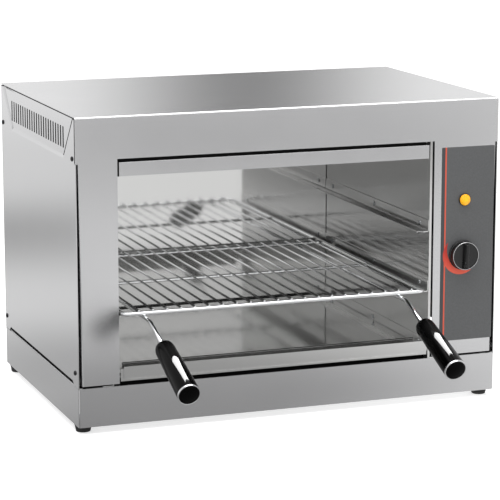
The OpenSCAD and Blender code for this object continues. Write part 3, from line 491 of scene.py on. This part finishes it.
def screw_head(bm, at, way):
    """One domed head with a cross recess, its flat side on a face and its dome facing a way."""
    # The crown is a grid of nine faces with a narrow cross in the middle.
    half, crown_z, cross_share = 1.7, 1.95, 0.45
    grid = bmesh.ops.create_grid(bm, x_segments=3, y_segments=3, size=1.0)["verts"]
    faces = list({f for v in grid for f in v.link_faces})
    crossed = [f for f in faces if min(abs(f.calc_center_median().x),
                                       abs(f.calc_center_median().y)) < 0.1]
    head = {v for f in faces for v in f.verts}
    resize(bm, [v for v in head if abs(v.co.x) < 0.4], (cross_share, 1, 1))
    resize(bm, [v for v in head if abs(v.co.y) < 0.4], (1, cross_share, 1))
    resize(bm, list(head), (half, half, 1))
    move(bm, list(head), (0, 0, crown_z))
    # The dome goes down to its rim in three rings of (radius, height).
    rim = [e for e in {e for f in faces for e in f.edges} if e.is_boundary]
    for reach, height in ((2.9, 1.55), (3.55, 0.85), (3.75, 0.0)):
        new = bmesh.ops.extrude_edge_only(bm, edges=rim)["geom"]
        rim = [e for e in edges_of(new) if e.is_boundary]
        for v in {v for e in rim for v in e.verts}:
            head.add(v)
            flat = Vector((v.co.x, v.co.y, 0)).normalized() * reach
            v.co = Vector((flat.x, flat.y, height))
    # The cross is pressed in and narrows towards its floor.
    sunk = verts_of(bmesh.ops.extrude_face_region(bm, geom=crossed)["geom"])
    bmesh.ops.delete(bm, geom=[f for f in crossed if f.is_valid], context="FACES_ONLY")
    move(bm, sunk, (0, 0, -1.1))
    resize(bm, sunk, (0.7, 0.7, 1))
    head.update(sunk)
    to_way = Vector((0, 0, 1)).rotation_difference(Vector(way)).to_matrix()
    bmesh.ops.rotate(bm, verts=list(head), matrix=to_way)
    move(bm, list(head), at)


# Blackened zinc plate: nearly black with a hard small highlight.
black_zinc = noise_material("blackened_zinc", "#2A2A2B", "#3A3A3C", 0.28, 0.05, 0.5, 0.01,
                            {"Metallic": 1.0})

rear_screw_x = 243
screws = bmesh.new()
for y in (casing_low.y + 16, casing_high.y - 8.5):
    for z in (band_low + 6, post_low + 17):
        for side in (-1, 1):
            screw_head(screws, (side * casing_high.x, y, z), (side, 0, 0))
for x in (-rear_screw_x, 0, rear_screw_x):
    screw_head(screws, (x, casing_high.y, casing_high.z - 10.5), (0, 1, 0))
bmesh.ops.recalc_face_normals(screws, faces=screws.faces)
screw_heads = piece("screw_heads", screws, black_zinc, "casing", ["panel_screws"])
modify(screw_heads, "round_off", "SUBSURF", levels=2, render_levels=2)

# ---------- Chamber walls
# Three walls of bright polished stainless, 1 mm, flanged at foot and head.
# The right wall also has a narrow bright flange along its front edge.

# Bright annealed 304: an almost mirror finish with faint rolling streaks from front to rear.
chamber_steel = stainless("bright_stainless_304", "Y", "#D9D9D8", 0.10, 0.02, 0.08, 0.0003, 0.35)
# The same finish on the rear wall, where the rolling runs across.
rear_wall_steel = stainless("bright_stainless_rear", "X", "#D9D9D8", 0.05, 0.01, 0.06, 0.0002, 0.15)

wall_flange, front_flange = 16, 3.5
for side, name in ((-1, "chamber_wall_left"), (1, "chamber_wall_right")):
    low, high = box_mm(name)
    inner = low.x if side > 0 else high.x
    outer = inner + side * wall_flange
    wall = bmesh.new()
    sweep(wall, [(outer, low.y, low.z), (inner, low.y, low.z), (inner, low.y, high.z),
                 (outer, low.y, high.z)], (0, high.y - low.y, 0))
    if side > 0:
        on_wall = lambda m: abs(m.x - inner) < near
        cut_at(wall, "Z", [opening_top], lambda m: not on_wall(m))
        turn(wall, lambda m: on_wall(m) and m.y < low.y + near and m.z < opening_top,
             (front_flange, 0, 0))
    tidy_sheet(wall, (-side, 0, 0))
    round_folds(wall, 0.9, 3)
    piece(name + "_sheet", wall, chamber_steel, "casing", [name], 1.0, 0.1)

low, high = box_mm("chamber_wall_rear")
wall = bmesh.new()
across(wall, low.x, high.x, [(high.y, low.z), (low.y, low.z), (low.y, high.z), (high.y, high.z)])
tidy_sheet(wall, (0, -1, 0))
round_folds(wall, 1.2, 3)
piece("chamber_wall_rear_sheet", wall, rear_wall_steel, "casing", ["chamber_wall_rear"],
      1.0, 0.1)

# ---------- Reflector and shield strip
# The reflector is a bright sheet over the tubes; the shield is a folded strip that hides them
# from the front and hangs 5 mm under the edge of the opening.

low, high = box_mm("reflector")
chamber_l, chamber_r = box_mm("chamber_wall_left")[1].x, box_mm("chamber_wall_right")[0].x
sheet = bmesh.new()
across(sheet, low.x, high.x, [(low.y, low.z), (low.y, high.z), (high.y, high.z)])
cut_at(sheet, "X", (chamber_l + 1, chamber_r - 1))
drop_faces(sheet, lambda m: m.z < high.z - 0.1 and not chamber_l < m.x < chamber_r)
tidy_sheet(sheet, (0, -1, 1))
round_folds(sheet, 1.5, 3)
piece("reflector_sheet", sheet, rear_wall_steel, "casing", ["reflector"], 1.0, 0.1)

low, high = box_mm("element_shield")
strip_top, end_flange = opening_top - 5, 12
shield = bmesh.new()
across(shield, low.x, high.x, [(low.y, low.z), (low.y, strip_top), (high.y, strip_top),
                               (high.y, high.z)])
turn(shield, lambda m: m.x > high.x - near and m.y < low.y + near, (0, end_flange, 0))
tidy_sheet(shield, (0, -1, 0))
round_folds(shield, 1.3, 4)
piece("shield_strip", shield, casing_steel, "casing", ["element_shield"], 1.2, 0.15)

# Near-black steel angles over and left of the strip are painted shade: they stand in for the shadow
# in the gap there.
shade_black = noise_material("painted_shade_black", "#040404", "#080808", 0.65, 0.05, 0.9, 0.01,
                              {"Specular IOR Level": 0.08})
shadow_l, angle_l = opening_l - 6, opening_l + 3.3
shadow_angles = bmesh.new()
sweep(shadow_angles, [(shadow_l, low.y - 0.4, low.z), (angle_l, low.y - 0.4, low.z),
               (angle_l, low.y + 0.8, low.z)], (0, 0, strip_top - low.z))
across(shadow_angles, shadow_l, shadow_l + chamber_r - opening_l,
       [(low.y + 1.7, strip_top - 2), (low.y + 1.7, opening_top + 5)])
# The same near-black angle lies in the joint between each post and the plinth, as painted shade for
# the shadow in that gap.
post_edge = 316
for start, end in ((-post_edge, opening_l - 1), (opening_r + 2, post_edge)):
    across(shadow_angles, start, end, [(low.y + 0.3, post_low - 2.6), (low.y + 0.3, post_low + 6)])
tidy_sheet(shadow_angles, (0, -1, 0))
piece("shield_shadow_angles", shadow_angles, shade_black, "casing", [], 0.3)

# ---------- Runners
# Three bright angles a side, riveted through their upright leg, carry the rack and the tray.
# The front corner of each shelf is cut at a slant.

runner_gauge, level_pitch, leg, corner_off = 1.2, 89, 16, 7
for side, name in ((-1, "runners_left"), (1, "runners_right")):
    low, high = box_mm(name)
    edge_x, at_wall = (low.x, high.x) if side > 0 else (high.x, low.x)
    leg_x = at_wall - side * runner_gauge
    runners = bmesh.new()
    for level in range(3):
        z = low.z + runner_gauge + level * level_pitch
        sweep(runners, [(leg_x, low.y, z + leg), (leg_x, low.y, z), (edge_x, low.y, z)],
              (0, high.y - low.y, 0))
        # The free edge of each shelf is folded down a little, which makes a bright round edge.
        turn(runners, lambda m: abs(m.x - edge_x) < near and abs(m.z - z) < near, (0, 0, -2.4))
        cut(runners, (edge_x, low.y + corner_off, z), (side, 1, 0), lambda m: m.z > z + near)
        drop_faces(runners, lambda m: abs(m.z - z) < 1.3
                   and side * (m.x - edge_x) + m.y - low.y - corner_off < -near)
    tidy_sheet(runners, (-side, 0, 1))
    round_folds(runners, 1.3, 4)
    piece(name + "_angles", runners, chamber_steel, "casing", [name], 1.2, 0.12)

# ---------- Crumb tray
# A shallow folded tray of bright 1 mm sheet: lip, finger channel, pan and side rims.
# The rims slide on the lowest runners; the lower corners of the lip are round.

# The tray's finish is a little duller than the walls', from wiping.
tray_steel = stainless("bright_stainless_tray", "X", "#D2D2D1", 0.09, 0.02, 0.05, 0.0001, 0.15)

low, high = box_mm("crumb_tray")
pan_l, pan_r = chamber_l + 16.9, chamber_r - 16.9
pan_front = low.y + 18
floor_z = low.z + 2.5
lip_top, rim_z = floor_z + 19, floor_z + 4.8
lip_l, lip_r = low.x + 4.5, high.x - 4.5
return_y = low.y + 2.3
on_lip = lambda m: m.y < low.y + near
tray = bmesh.new()
across(tray, pan_l, pan_r, [(low.y, lip_top - 0.8), (low.y, floor_z), (high.y, floor_z),
                            (high.y, floor_z + 9)])
cut_at(tray, "Y", [pan_front])
turn(tray, lambda m: on_lip(m) and m.x < pan_l + near, (lip_l - pan_l, 0, 0))
turn(tray, lambda m: on_lip(m) and m.x > pan_r - near, (lip_r - pan_r, 0, 0))
corners = [v for v in tray.verts if on_lip(v.co) and v.co.z < floor_z + near
           and not lip_l + near < v.co.x < lip_r - near]
bmesh.ops.bevel(tray, geom=corners, offset=4, segments=6, profile=0.5, affect="VERTICES",
                material=-1)
# The wider return plate behind the lip shows as a narrow step at its ends and along its foot.
across(tray, low.x, high.x, [(return_y, low.z), (return_y, low.z + 18)])
for x, out_x in ((pan_l, low.x), (pan_r, high.x)):
    turn(tray, lambda m: abs(m.x - x) < near and m.z < floor_z + near and m.y > pan_front,
         (0, 0, rim_z - floor_z))
    turn(tray, lambda m: abs(m.x - x) < near and abs(m.z - rim_z) < near, (out_x - x, 0, 0))
across(tray, pan_l, pan_r, [(pan_front, floor_z + 0.5), (pan_front, lip_top),
                            (pan_front + 4, lip_top)])
tidy_sheet(tray, (0, -1, -1))
round_folds(tray, 1.4, 4, lambda m: pan_l + 0.1 < m.x < pan_r - 0.1 and m.y < pan_front + 6)
piece("crumb_tray_sheet", tray, tray_steel, "crumb_tray", ["crumb_tray"], 1.0, 0.12)

# A near-black sheet on the rear wall of the finger channel is painted shade: it makes the dark band
# that shadow gives there.
channel_shade_y = pan_front - 0.9
channel_shade = bmesh.new()
across(channel_shade, pan_l, pan_r, [(channel_shade_y, floor_z + 0.6), (channel_shade_y, lip_top + 1.8)])
tidy_sheet(channel_shade, (0, -1, 1))
piece("channel_shadow_band", channel_shade, shade_black, "crumb_tray", [], 0.3)

# ---------- Sill
# A narrow folded box section closes the front of the plinth deck under the tray lip.
# It has the same near-black finish, painted shade that keeps the gap under the lip dark as shadow
# would.

low, high = box_mm("front_sill")
sill = bmesh.new()
across(sill, low.x, high.x, [(high.y, low.z), (high.y, high.z), (low.y, high.z),
                             (low.y, low.z + 5)])
tidy_sheet(sill, (0, -1, 1))
round_folds(sill, 1.2, 3)
piece("sill_section", sill, shade_black, "casing", ["front_sill"], 1.2, 0.12)

# ---------- Rack
# A frame of 6 mm wire bent round at the corners, one cross wire and 21 thin bars on top,
# all spot welded where they cross and bright chrome plated.

def close_end(bm, edges, way, diameter):
    """Closes the end of a wire with the slightly domed face of a cropped end."""
    for reach, share in ((0.10, 0.86), (0.05, 0.55)):
        new = pull(bm, edges, way * diameter * reach)
        verts, edges = verts_of(new), edges_of(new)
        centre = sum((v.co for v in verts), Vector()) / len(verts)
        resize(bm, verts, (share, share, share), centre)
    bmesh.ops.holes_fill(bm, edges=edges, sides=0)


def wire(bm, start, way, diameter, course, sides=20, ends=True):
    """A round wire: a ring drawn along straights (length) and bends (angle, radius, axis)."""
    way = Vector(way).normalized()
    at = Vector(start)
    ring = bmesh.ops.create_circle(bm, segments=sides, radius=diameter / 2)["verts"]
    to_way = Vector((0, 0, 1)).rotation_difference(way).to_matrix()
    bmesh.ops.rotate(bm, verts=ring, matrix=to_way)
    move(bm, ring, at)
    edges = list({e for v in ring for e in v.link_edges})
    if ends:
        close_end(bm, edges, -way, diameter)
    for part in course:
        if isinstance(part, tuple):
            angle, radius, axis = part
            axis = Vector(axis)
            centre = at + axis.cross(way) * radius
            steps = max(3, round(abs(math.degrees(angle)) / 9))
            last = bmesh.ops.spin(bm, geom=edges, cent=centre, axis=axis, angle=angle,
                                  steps=steps, use_merge=False)["geom_last"]
            bend = Matrix.Rotation(angle, 3, axis)
            at = centre + bend @ (at - centre)
            way = bend @ way
        else:
            last = pull(bm, edges, way * part)
            at = at + way * part
        edges = [e for e in edges_of(last) if len(e.link_faces) == 1]
    if ends:
        close_end(bm, edges, way, diameter)
    bmesh.ops.recalc_face_normals(bm, faces=bm.faces)


def chrome(name, colour, rough):
    """Bright plating over drawn wire: mirror bright with a slight uneven haze."""
    material, tree, place = blank_material(name)
    haze = noise(tree, place, 180.0, 3.0, 0.55)
    gloss = remap(tree, haze, 0.3, 0.75, rough * 0.6, rough * 1.8)
    dents = bump(tree, haze, 0.35, 0.06 * mm)
    metal = principled(tree, linear(colour), gloss, {"Metallic": 1.0, "Normal": dents})
    add(tree, "OutputMaterial", {"Surface": metal})
    return material


# Chrome plate on drawn wire: near-white reflections broken by thin dark lines.
wire_chrome = chrome("chrome_plated_wire", "#F0F1F2", 0.09)

low, high = box_mm("rack_frame")
wire_d, corner_r, cross_d = 6.0, 10.0, 4.5
size = high - low
run_x, run_y = (length - wire_d - 2 * corner_r for length in (size.x, size.y))
frame_z = (low.z + high.z) / 2
quarter = (math.pi / 2, corner_r, (0, 0, 1))
frame_wire = bmesh.new()
wire(frame_wire, (low.x + wire_d / 2 + corner_r, low.y + wire_d / 2, frame_z), (1, 0, 0), wire_d,
     [run_x, quarter, run_y, quarter] * 2, ends=False)
bmesh.ops.remove_doubles(frame_wire, verts=frame_wire.verts, dist=0.01)
wire(frame_wire, (low.x + wire_d / 2 + 1, (low.y + high.y) / 2, frame_z + (wire_d - cross_d) / 2),
     (1, 0, 0), cross_d, [size.x - wire_d - 2])
piece("rack_frame_wire", frame_wire, wire_chrome, "rack", ["rack_frame"])

# Bars and rods stop this far inside their solids, to leave room for their domed ends.
low, high = box_mm("rack_bars")
bar_count, end_room = 21, 0.6
bar_d = high.z - low.z
bar_step = (high.x - low.x - bar_d) / (bar_count - 1)
bars = bmesh.new()
for i in range(bar_count):
    wire(bars, (low.x + bar_d / 2 + i * bar_step, low.y + end_room, low.z + bar_d / 2), (0, 1, 0),
         bar_d, [high.y - low.y - 2 * end_room], sides=14)
piece("rack_bar_wires", bars, wire_chrome, "rack", ["rack_bars"])

# ---------- Handle rods
# Two 6 mm chrome rods run the length of the rack under its frame and bend down at the front,
# where the grips are pushed on.

low, high = box_mm("handle_rods")
rod_d, rod_bend_r, slope = 6.0, 16, math.radians(20.5)
rod_out, rod_in_grip = 60, 19
rod_front = casing_low.y - 34
rod_xs = (low.x + rod_d / 2, high.x - rod_d / 2)
rod_z = high.z - rod_d / 2
rods = bmesh.new()
for x in rod_xs:
    wire(rods, (x, high.y - end_room, rod_z), (0, -1, 0), rod_d,
         [high.y - end_room - rod_front, (slope, rod_bend_r, (1, 0, 0)), rod_out + rod_in_grip])
piece("handle_rod_wires", rods, wire_chrome, "rack", ["handle_rods"])

# ---------- Grips
# Each grip is turned black phenolic, slightly thicker at its outer end, with a round shoulder.
# A thin bright metal ring is let in round the flat outer end.

# Phenolic moulding, polished: deep black with one hard highlight along it.
grip_black = noise_material("polished_phenolic", "#020202", "#040404", 0.06, 0.01, 0.6, 0.0005,
                            {"Specular IOR Level": 0.06})
# Bright turned aluminium ring.
ring_metal = chrome("bright_turned_ring", "#CFCFD0", 0.16)

grip_way = Vector((0, -math.cos(slope), -math.sin(slope)))
necks = [Vector((x, rod_front - rod_bend_r * math.sin(slope),
                 rod_z - rod_bend_r * (1 - math.cos(slope)))) + grip_way * rod_out for x in rod_xs]
grips = bmesh.new()
rings = bmesh.new()
for neck in necks:
    turned(grips, [(0, 8), (3.05, 8), (3.1, 0.6), (3.8, 0), (6.2, 0.1), (8.6, 0.8), (10.8, 2.2),
                   (12.6, 4.8), (13.6, 8), (14.0, 12), (15.0, 60), (15.9, 107), (15.95, 115.6),
                   (14.6, 115.9), (14.45, 118.3), (13.9, 118.7), (0, 118.9)], neck, grip_way, 64)
    turned(rings, [(14.5, 116.0), (15.75, 115.95), (15.98, 116.2), (16.0, 118.4), (15.7, 118.95),
                   (14.9, 119), (14.5, 118.7), (14.5, 116.0)], neck, grip_way, 64)
grip_piece = piece("turned_grips", grips, grip_black, "rack", ["handle_grips"],
                   angle=50)
piece("grip_end_rings", rings, ring_metal, "rack", ["grip_rings"])

# ---------- Control label
# Printed plastic film on the right post, dark grey with a leather grain.
# A red line runs down its left side and a red crescent lies round the knob.

def vector_maths(tree, operation, *values):
    """One operation on a few vectors; a distance or a length is a plain value."""
    made = add(tree, "VectorMath", dict(enumerate(values)), operation=operation)
    return made.outputs["Value" if operation in ("DISTANCE", "LENGTH") else "Vector"]


def disc(tree, place, x, z, radius, soft):
    """1 inside a circle in the face of the label, falling to 0 over a soft edge."""
    centre = add(tree, "CombineXYZ", {"X": x * mm, "Y": 0.0, "Z": z * mm}).outputs[0]
    flat = vector_maths(tree, "MULTIPLY", place, (1.0, 0.0, 1.0))
    span = vector_maths(tree, "DISTANCE", flat, centre)
    return remap(tree, span, (radius + soft) * mm, (radius - soft) * mm)


low, high = box_mm("control_label")
knob_at = sum(box_mm("knob"), Vector()) / 2
line_x, half_line, soft = low.x + 6.2, 1.1, 0.3
# Printed polyester film: grey with a dull leather grain, its red marks in the same layer.
label_film, tree, place = blank_material("printed_polyester_film")
axes = add(tree, "SeparateXYZ", {0: place}).outputs
# The crescent is what a circle of 28.5 mm leaves outside one of 32.5 mm up and to the right.
big = disc(tree, place, knob_at.x - 3.1, knob_at.z - 0.5, 28.5, soft)
small = disc(tree, place, knob_at.x + 7.4, knob_at.z + 8.8, 32.5, soft)
crescent = maths(tree, "SUBTRACT", big, small, use_clamp=True)
aside = maths(tree, "ABSOLUTE", maths(tree, "SUBTRACT", axes["X"], line_x * mm))
line = remap(tree, aside, (half_line + soft) * mm, (half_line - soft) * mm)
# The film is a little darker in the strip left of the red line.
strip = remap(tree, axes["X"], (line_x - 0.6) * mm, (line_x + 0.4) * mm)
# Real leather grain is about 0.4 mm; it is drawn at 1.2 mm so that it shows.
leather = add(tree, "TexVoronoi", {"Vector": place, "Scale": 800.0}).outputs["Distance"]
mottle = noise(tree, place, 420.0, 3.0, 0.7)
ground = mixed(tree, mottle, linear("#4A4B4C"), linear("#626364"))
ground = mixed(tree, strip, linear("#3F4143"), ground)
fade = remap(tree, axes["Z"], (knob_at.z - 24) * mm, (knob_at.z + 16) * mm)
red = mixed(tree, fade, linear("#E85A42"), linear("#B81F1C"))
lined = mixed(tree, line, ground, linear("#D9573F"))
printed = mixed(tree, crescent, lined, red)
film = principled(tree, printed, 0.42, {"Normal": bump(tree, leather, 0.4, 0.04 * mm)})
add(tree, "OutputMaterial", {"Surface": film})

label = bmesh.new()
upright(label, low, high, low.y)
bmesh.ops.bevel(label, geom=label.verts[:], offset=1.5, segments=4, profile=0.5, affect="VERTICES",
                material=-1)
tidy_sheet(label, (0, -1, 0))
piece("label_sheet", label, label_film, "casing", ["control_label"], 0.5, 0.1)

# ---------- Pilot lamp
# A domed amber lens snapped into a black flanged body.
# The body goes through the post and is held behind it by a nut.

low, high = box_mm("lamp_lens")
lens_r = (high.x - low.x) / 2
lamp_at = (low + high) / 2
lamp_at.y = high.y
# Clear amber polycarbonate over a bright lamp: a saturated yellow with an orange rim.
amber_lens, tree, place = blank_material("amber_polycarbonate")
off_centre = vector_maths(tree, "DISTANCE", place, (lamp_at.x * mm, low.y * mm, lamp_at.z * mm))
core = remap(tree, off_centre, 1.5 * mm, 9 * mm)
speckle = noise(tree, place, 350.0, 2.0, 0.5)
amber = mixed(tree, maths(tree, "MULTIPLY_ADD", core, speckle, 0.1), linear("#FFC800"),
              linear("#F59A00"))
lens = principled(tree, amber, 0.12, {
    "IOR": 1.58, "Subsurface Weight": 0.25, "Subsurface Radius": (0.004, 0.002, 0.0004),
    "Emission Color": amber, "Emission Strength": 0.12})
add(tree, "OutputMaterial", {"Surface": lens})

dome = bmesh.new()
turned(dome, [(0, 0), (lens_r, 0), (lens_r, 1.3), (lens_r - 0.5, 1.9), (lens_r - 1.4, 2.6),
              (5.2, 3.5), (3.2, 4.1), (1.4, 4.35), (0, 4.4)], lamp_at, (0, -1, 0))
piece("lamp_dome", dome, amber_lens, "casing", ["lamp_lens"], angle=50)

# ABS moulding, black with a soft shine.
black_abs = noise_material("moulded_abs", "#0B0B0B", "#121212", 0.3, 0.06, 0.5, 0.006)
body = bmesh.new()
turned(body, [(0, -24.5), (5.6, -24.5), (6, -24), (6, 0.05), (8.6, 0.05), (9.2, 0.6), (9.25, 1.5),
              (8.9, 1.95), (8.35, 2), (8.35, 1.6), (0, 1.6)],
       (lamp_at.x, casing_low.y - 0.6, lamp_at.z), (0, -1, 0))
turned(body, [(6.1, 0), (8.5, 0), (8.5, 4), (6.1, 4), (6.1, 0)],
       (lamp_at.x, casing_low.y + 1.3, lamp_at.z), (0, 1, 0), 6)
piece("lamp_housing", body, black_abs, "casing", ["lamp_body"], angle=40)

# ---------- Knob
# A moulded black knob with a skirt and a raised grip bar that widens towards its foot.
# A thin bright ring is let into the rim of its face.

low, high = box_mm("knob")
centre = Vector((knob_at.x, high.y, knob_at.z))
face_y = low.y + 7.5
knob_r = (high.x - low.x) / 2
depth = high.y - face_y
bar_wide, bar_deep, bar_long = 8, 8.1, 1.76 * knob_r
knob = bmesh.new()
turned(knob, [(0, 0.6), (3.1, 0.6), (3.1, 0), (knob_r - 0.3, 0), (knob_r, 0.3), (knob_r, 2.4),
              (knob_r - 0.5, 2.9), (knob_r - 1.2, 3.1), (knob_r - 1.5, depth - 0.5),
              (knob_r - 1.9, depth - 0.05), (knob_r - 2.8, depth - 0.05),
              (knob_r - 2.8, depth - 0.6), (knob_r - 3.0, depth - 0.6), (0, depth - 0.6)],
       centre, (0, -1, 0), 72)
bar = bmesh.ops.create_cube(knob, size=1)["verts"]
resize(knob, bar, (bar_wide, bar_deep, bar_long))
move(knob, bar, (centre.x, face_y - 3.4, centre.z))
# The bar is narrow along its crest and wider at the end that points down.
crest = [v for v in bar if v.co.y < face_y - 4]
resize(knob, crest, (0.42, 1, 0.9), centre)
wide_end = [v for v in bar if v.co.z < centre.z and v.co.y > face_y - 4]
resize(knob, wide_end, (1.5, 1, 1), centre)
bar_edges = [e for e in knob.edges if e.verts[0] in bar and e.verts[1] in bar]
bmesh.ops.bevel(knob, geom=bar_edges, offset=0.9, offset_type="OFFSET", segments=3, profile=0.5,
                affect="EDGES", material=-1)
piece("turned_knob", knob, black_abs, "knob", ["knob"], angle=45)

ring = bmesh.new()
turned(ring, [(knob_r - 2.3, 0), (knob_r - 1.55, 0), (knob_r - 1.5, 1.2), (knob_r - 1.7, 1.38),
              (knob_r - 2.1, 1.38), (knob_r - 2.3, 1.2), (knob_r - 2.3, 0)],
       (centre.x, box_mm("knob_ring")[1].y, centre.z), (0, -1, 0), 72)
piece("knob_face_ring", ring, ring_metal, "knob", ["knob_ring"])

# ---------- Inner works and small parts
# Sheathed heating tubes on hanger strips, the regulator behind the knob, terminals, bolts,
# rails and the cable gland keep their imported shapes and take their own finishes.

# Stainless sheath that has been red hot: brown and blue-grey heat stains over dull metal.
heat_stained, tree, place = blank_material("heat_stained_sheath")
stain = noise(tree, place, 30.0, 5.0, 0.65)
tint = add(tree, "ValToRGB", {0: stain})
for stop, colour, position in zip(tint.color_ramp.elements, ("#4A4038", "#6A6C70"), (0.3, 0.7)):
    stop.color = linear(colour)
    stop.position = position
sheath = principled(tree, tint.outputs[0], 0.45,
                    {"Metallic": 0.85, "Normal": bump(tree, stain, 0.4, 0.1 * mm)})
add(tree, "OutputMaterial", {"Surface": sheath})

# Bright zinc plate on small turned and pressed steel parts.
zinc_plate = noise_material("bright_zinc_plate", "#A9ABAE", "#BFC1C4", 0.3, 0.07, 0.6, 0.01,
                            {"Metallic": 1.0})
# Glass-filled thermoset moulding, warm off-white and matt.
thermoset = noise_material("thermoset_moulding", "#C9C2B2", "#D8D2C4", 0.5, 0.06, 0.7, 0.015)

for finish, nodes in (
        (heat_stained, ["heating_elements"]), (casing_steel, ["foot_rails"]),
        (zinc_plate, ["element_hangers", "runner_rivets", "deck_bolts", "foot_screws",
                      "regulator_nut", "regulator_shaft"]),
        (thermoset, ["regulator_body", "terminal_block"]),
        (black_abs, ["cable_gland", "gland_nut"])):
    for node in nodes:
        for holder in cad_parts[node].material_slots:
            holder.material = finish

# ---------- Floor, light and camera
# A wide pale floor, which the metal sees with painted shade round the casing, even white studio
# light from all sides and one large soft light overhead.
# Two small strip lights shine on the grips alone. The camera looks from the front left.

white, black = (1.0, 1.0, 1.0, 1.0), (0.0, 0.0, 0.0, 1.0)


def shining(tree, kind, strength, colour=white):
    """A shader that gives light of its own."""
    return add(tree, kind, {"Color": colour, "Strength": strength}).outputs[0]


def largest(tree, value, *others):
    """The largest of a few values."""
    for other in others:
        value = maths(tree, "MAXIMUM", value, other)
    return value


def shaded(tree, value, core, edge, depth):
    """1 where a value is past the edge, falling smoothly to 1 - depth at the core."""
    return remap(tree, value, core, edge, 1.0 - depth, 1.0, interpolation_type="SMOOTHSTEP")


# Matt white paper. The camera sees it brighter than it lights the casing.
paper, tree, place = blank_material("studio_floor")
seen = add(tree, "LightPath").outputs
matt = add(tree, "BsdfDiffuse", {"Color": linear("#E8E8E8")}).outputs[0]
direct = largest(tree, seen["Is Camera Ray"], seen["Is Glossy Ray"], seen["Is Transmission Ray"])
lift = either(tree, direct, shining(tree, "Emission", 0.0, black),
              shining(tree, "Emission", 0.62))
both = add(tree, "AddShader", {0: matt, 1: lift}).outputs[0]

# What the metal shows of the floor: white paper with soft ovals of painted shade under and beside
# the casing, standing in for its shadow and the unlit parts of the room. Each has its middle (x,
# y), its half width and half depth in metres, the share of it that is its core, and how much darker
# the core is.
shade = None
for x, y, wide, deep, core, depth in (
        (-0.15, -0.30, 0.68, 0.50, 0.30, 0.56), (-0.45, 0.20, 0.35, 0.55, 0.2, 0.38),
        (-0.66, 1.42, 0.60, 0.60, 0.0, 0.46), (-0.8, 1.2, 1.5, 2.2, 0.6, 0.14),
        (0.84, -2.75, 1.05, 1.12, 0.45, 0.68), (-0.62, -1.30, 0.62, 1.00, 0.45, 0.67),
        (-1.3, -0.4, 0.7, 0.7, 0.3, 0.6)):
    offset = vector_maths(tree, "SUBTRACT", place, (x, y, 0.0))
    flat = vector_maths(tree, "MULTIPLY", offset, (1 / wide, 1 / deep, 0.0))
    oval = shaded(tree, vector_maths(tree, "LENGTH", flat), core, 1.0, depth)
    shade = maths(tree, "MULTIPLY", shade, oval) if shade else oval
painted_floor_shade = shining(tree, "Emission", shade)
add(tree, "OutputMaterial", {"Surface": either(tree, seen["Is Glossy Ray"], both, painted_floor_shade)})

floor_mesh = bmesh.new()
bmesh.ops.create_circle(floor_mesh, cap_ends=True, segments=64, radius=30)
mesh_object("floor", floor_mesh, paper)

world = bpy.data.worlds.new("studio")
bpy.context.scene.world = world
world.use_nodes = True
tree = world.node_tree
tree.nodes.clear()
seen = add(tree, "LightPath").outputs
way = add(tree, "TexCoord").outputs["Generated"]
direct = largest(tree, seen["Is Camera Ray"], seen["Is Transmission Ray"])
sky = either(tree, direct, shining(tree, "Background", 0.75),
             shining(tree, "Background", 1.0))


def column(degrees, core, half, depth):
    """An upright soft band of the room round a compass angle: 1 outside it, 1 - depth inside."""
    facing = add(tree, "VectorRotate", {"Vector": way, "Angle": math.radians(degrees)},
                 rotation_type="Z_AXIS").outputs[0]
    sides = add(tree, "SeparateXYZ", {0: facing}).outputs
    away = maths(tree, "LESS_THAN", sides["Y"], 0.0)
    aside = maths(tree, "ADD", maths(tree, "ABSOLUTE", sides["X"]), away)
    return shaded(tree, aside, core, half, depth)


# A dark soft column in the backdrop lies behind the casing, so that its top isn't one flat tone.
# Near the floor the room is darker in front, which tones the hood band down.
height = add(tree, "SeparateXYZ", {0: way}).outputs["Z"]
low_down = remap(tree, height, 0.13, 0.03, interpolation_type="SMOOTHSTEP")
front_band = mixed(tree, low_down, 1.0, column(158.0, 0.15, 0.45, 0.6), "FLOAT")
dimmed = maths(tree, "MULTIPLY", column(20.0, 0.0, 0.088, 0.80), front_band)
backdrop = shining(tree, "Background", dimmed)
add(tree, "OutputWorld", {"Surface": either(tree, seen["Is Glossy Ray"], sky, backdrop)})


def soft_light(name, at, aim, width, height, power):
    """A rectangular soft light that isn't seen by the camera itself."""
    lamp = bpy.data.lights.new(name, "AREA")
    lamp.shape = "RECTANGLE"
    lamp.size = width
    lamp.size_y = height
    lamp.energy = power
    obj = bpy.data.objects.new(name, lamp)
    obj.location = at
    obj.rotation_euler = (Vector(aim) - Vector(at)).to_track_quat("-Z", "Y").to_euler()
    bpy.context.scene.collection.objects.link(obj)
    obj.visible_camera = False
    return obj


overhead = soft_light("overhead", (0.0, -0.3, 2.4), (0.0, 0.0, 0.2), 2.6, 2.0, 60)
# A small strip light lies over each black grip; the overhead light leaves the grips out.
linked = [(overhead, "EXCLUDE")]
toward = Vector((0.190, 0.544, 0.817))
along = grip_way.cross(toward).normalized()
for neck in necks:
    spot = (neck + grip_way * 76 + Vector((-2, -5.3, 14.1))) * mm
    strip_light = soft_light("grip_light", spot + toward * 0.06, spot, 0.044, 0.0376, 0.35)
    turn_to = Matrix((along, toward.cross(along), toward)).transposed()
    strip_light.rotation_euler = turn_to.to_euler()
    linked.append((strip_light, "INCLUDE"))
for lamp, state in linked:
    chosen = bpy.data.collections.new(lamp.name + "_grips")
    chosen.objects.link(grip_piece)
    for item in chosen.collection_objects:
        item.light_linking.link_state = state
    lamp.light_linking.receiver_collection = chosen

look_down, look_right = 11.175, 20.072
camera = bpy.data.cameras.new("camera")
camera.lens = 164.98
camera.sensor_width = 36
camera_object = bpy.data.objects.new("camera", camera)
camera_object.location = (-1.158, -3.0958, 0.8766)
camera_object.rotation_euler = (math.radians(90 - look_down), 0, math.radians(-look_right))
bpy.context.scene.collection.objects.link(camera_object)
bpy.context.scene.camera = camera_object
bpy.context.scene.view_settings.view_transform = "Standard"
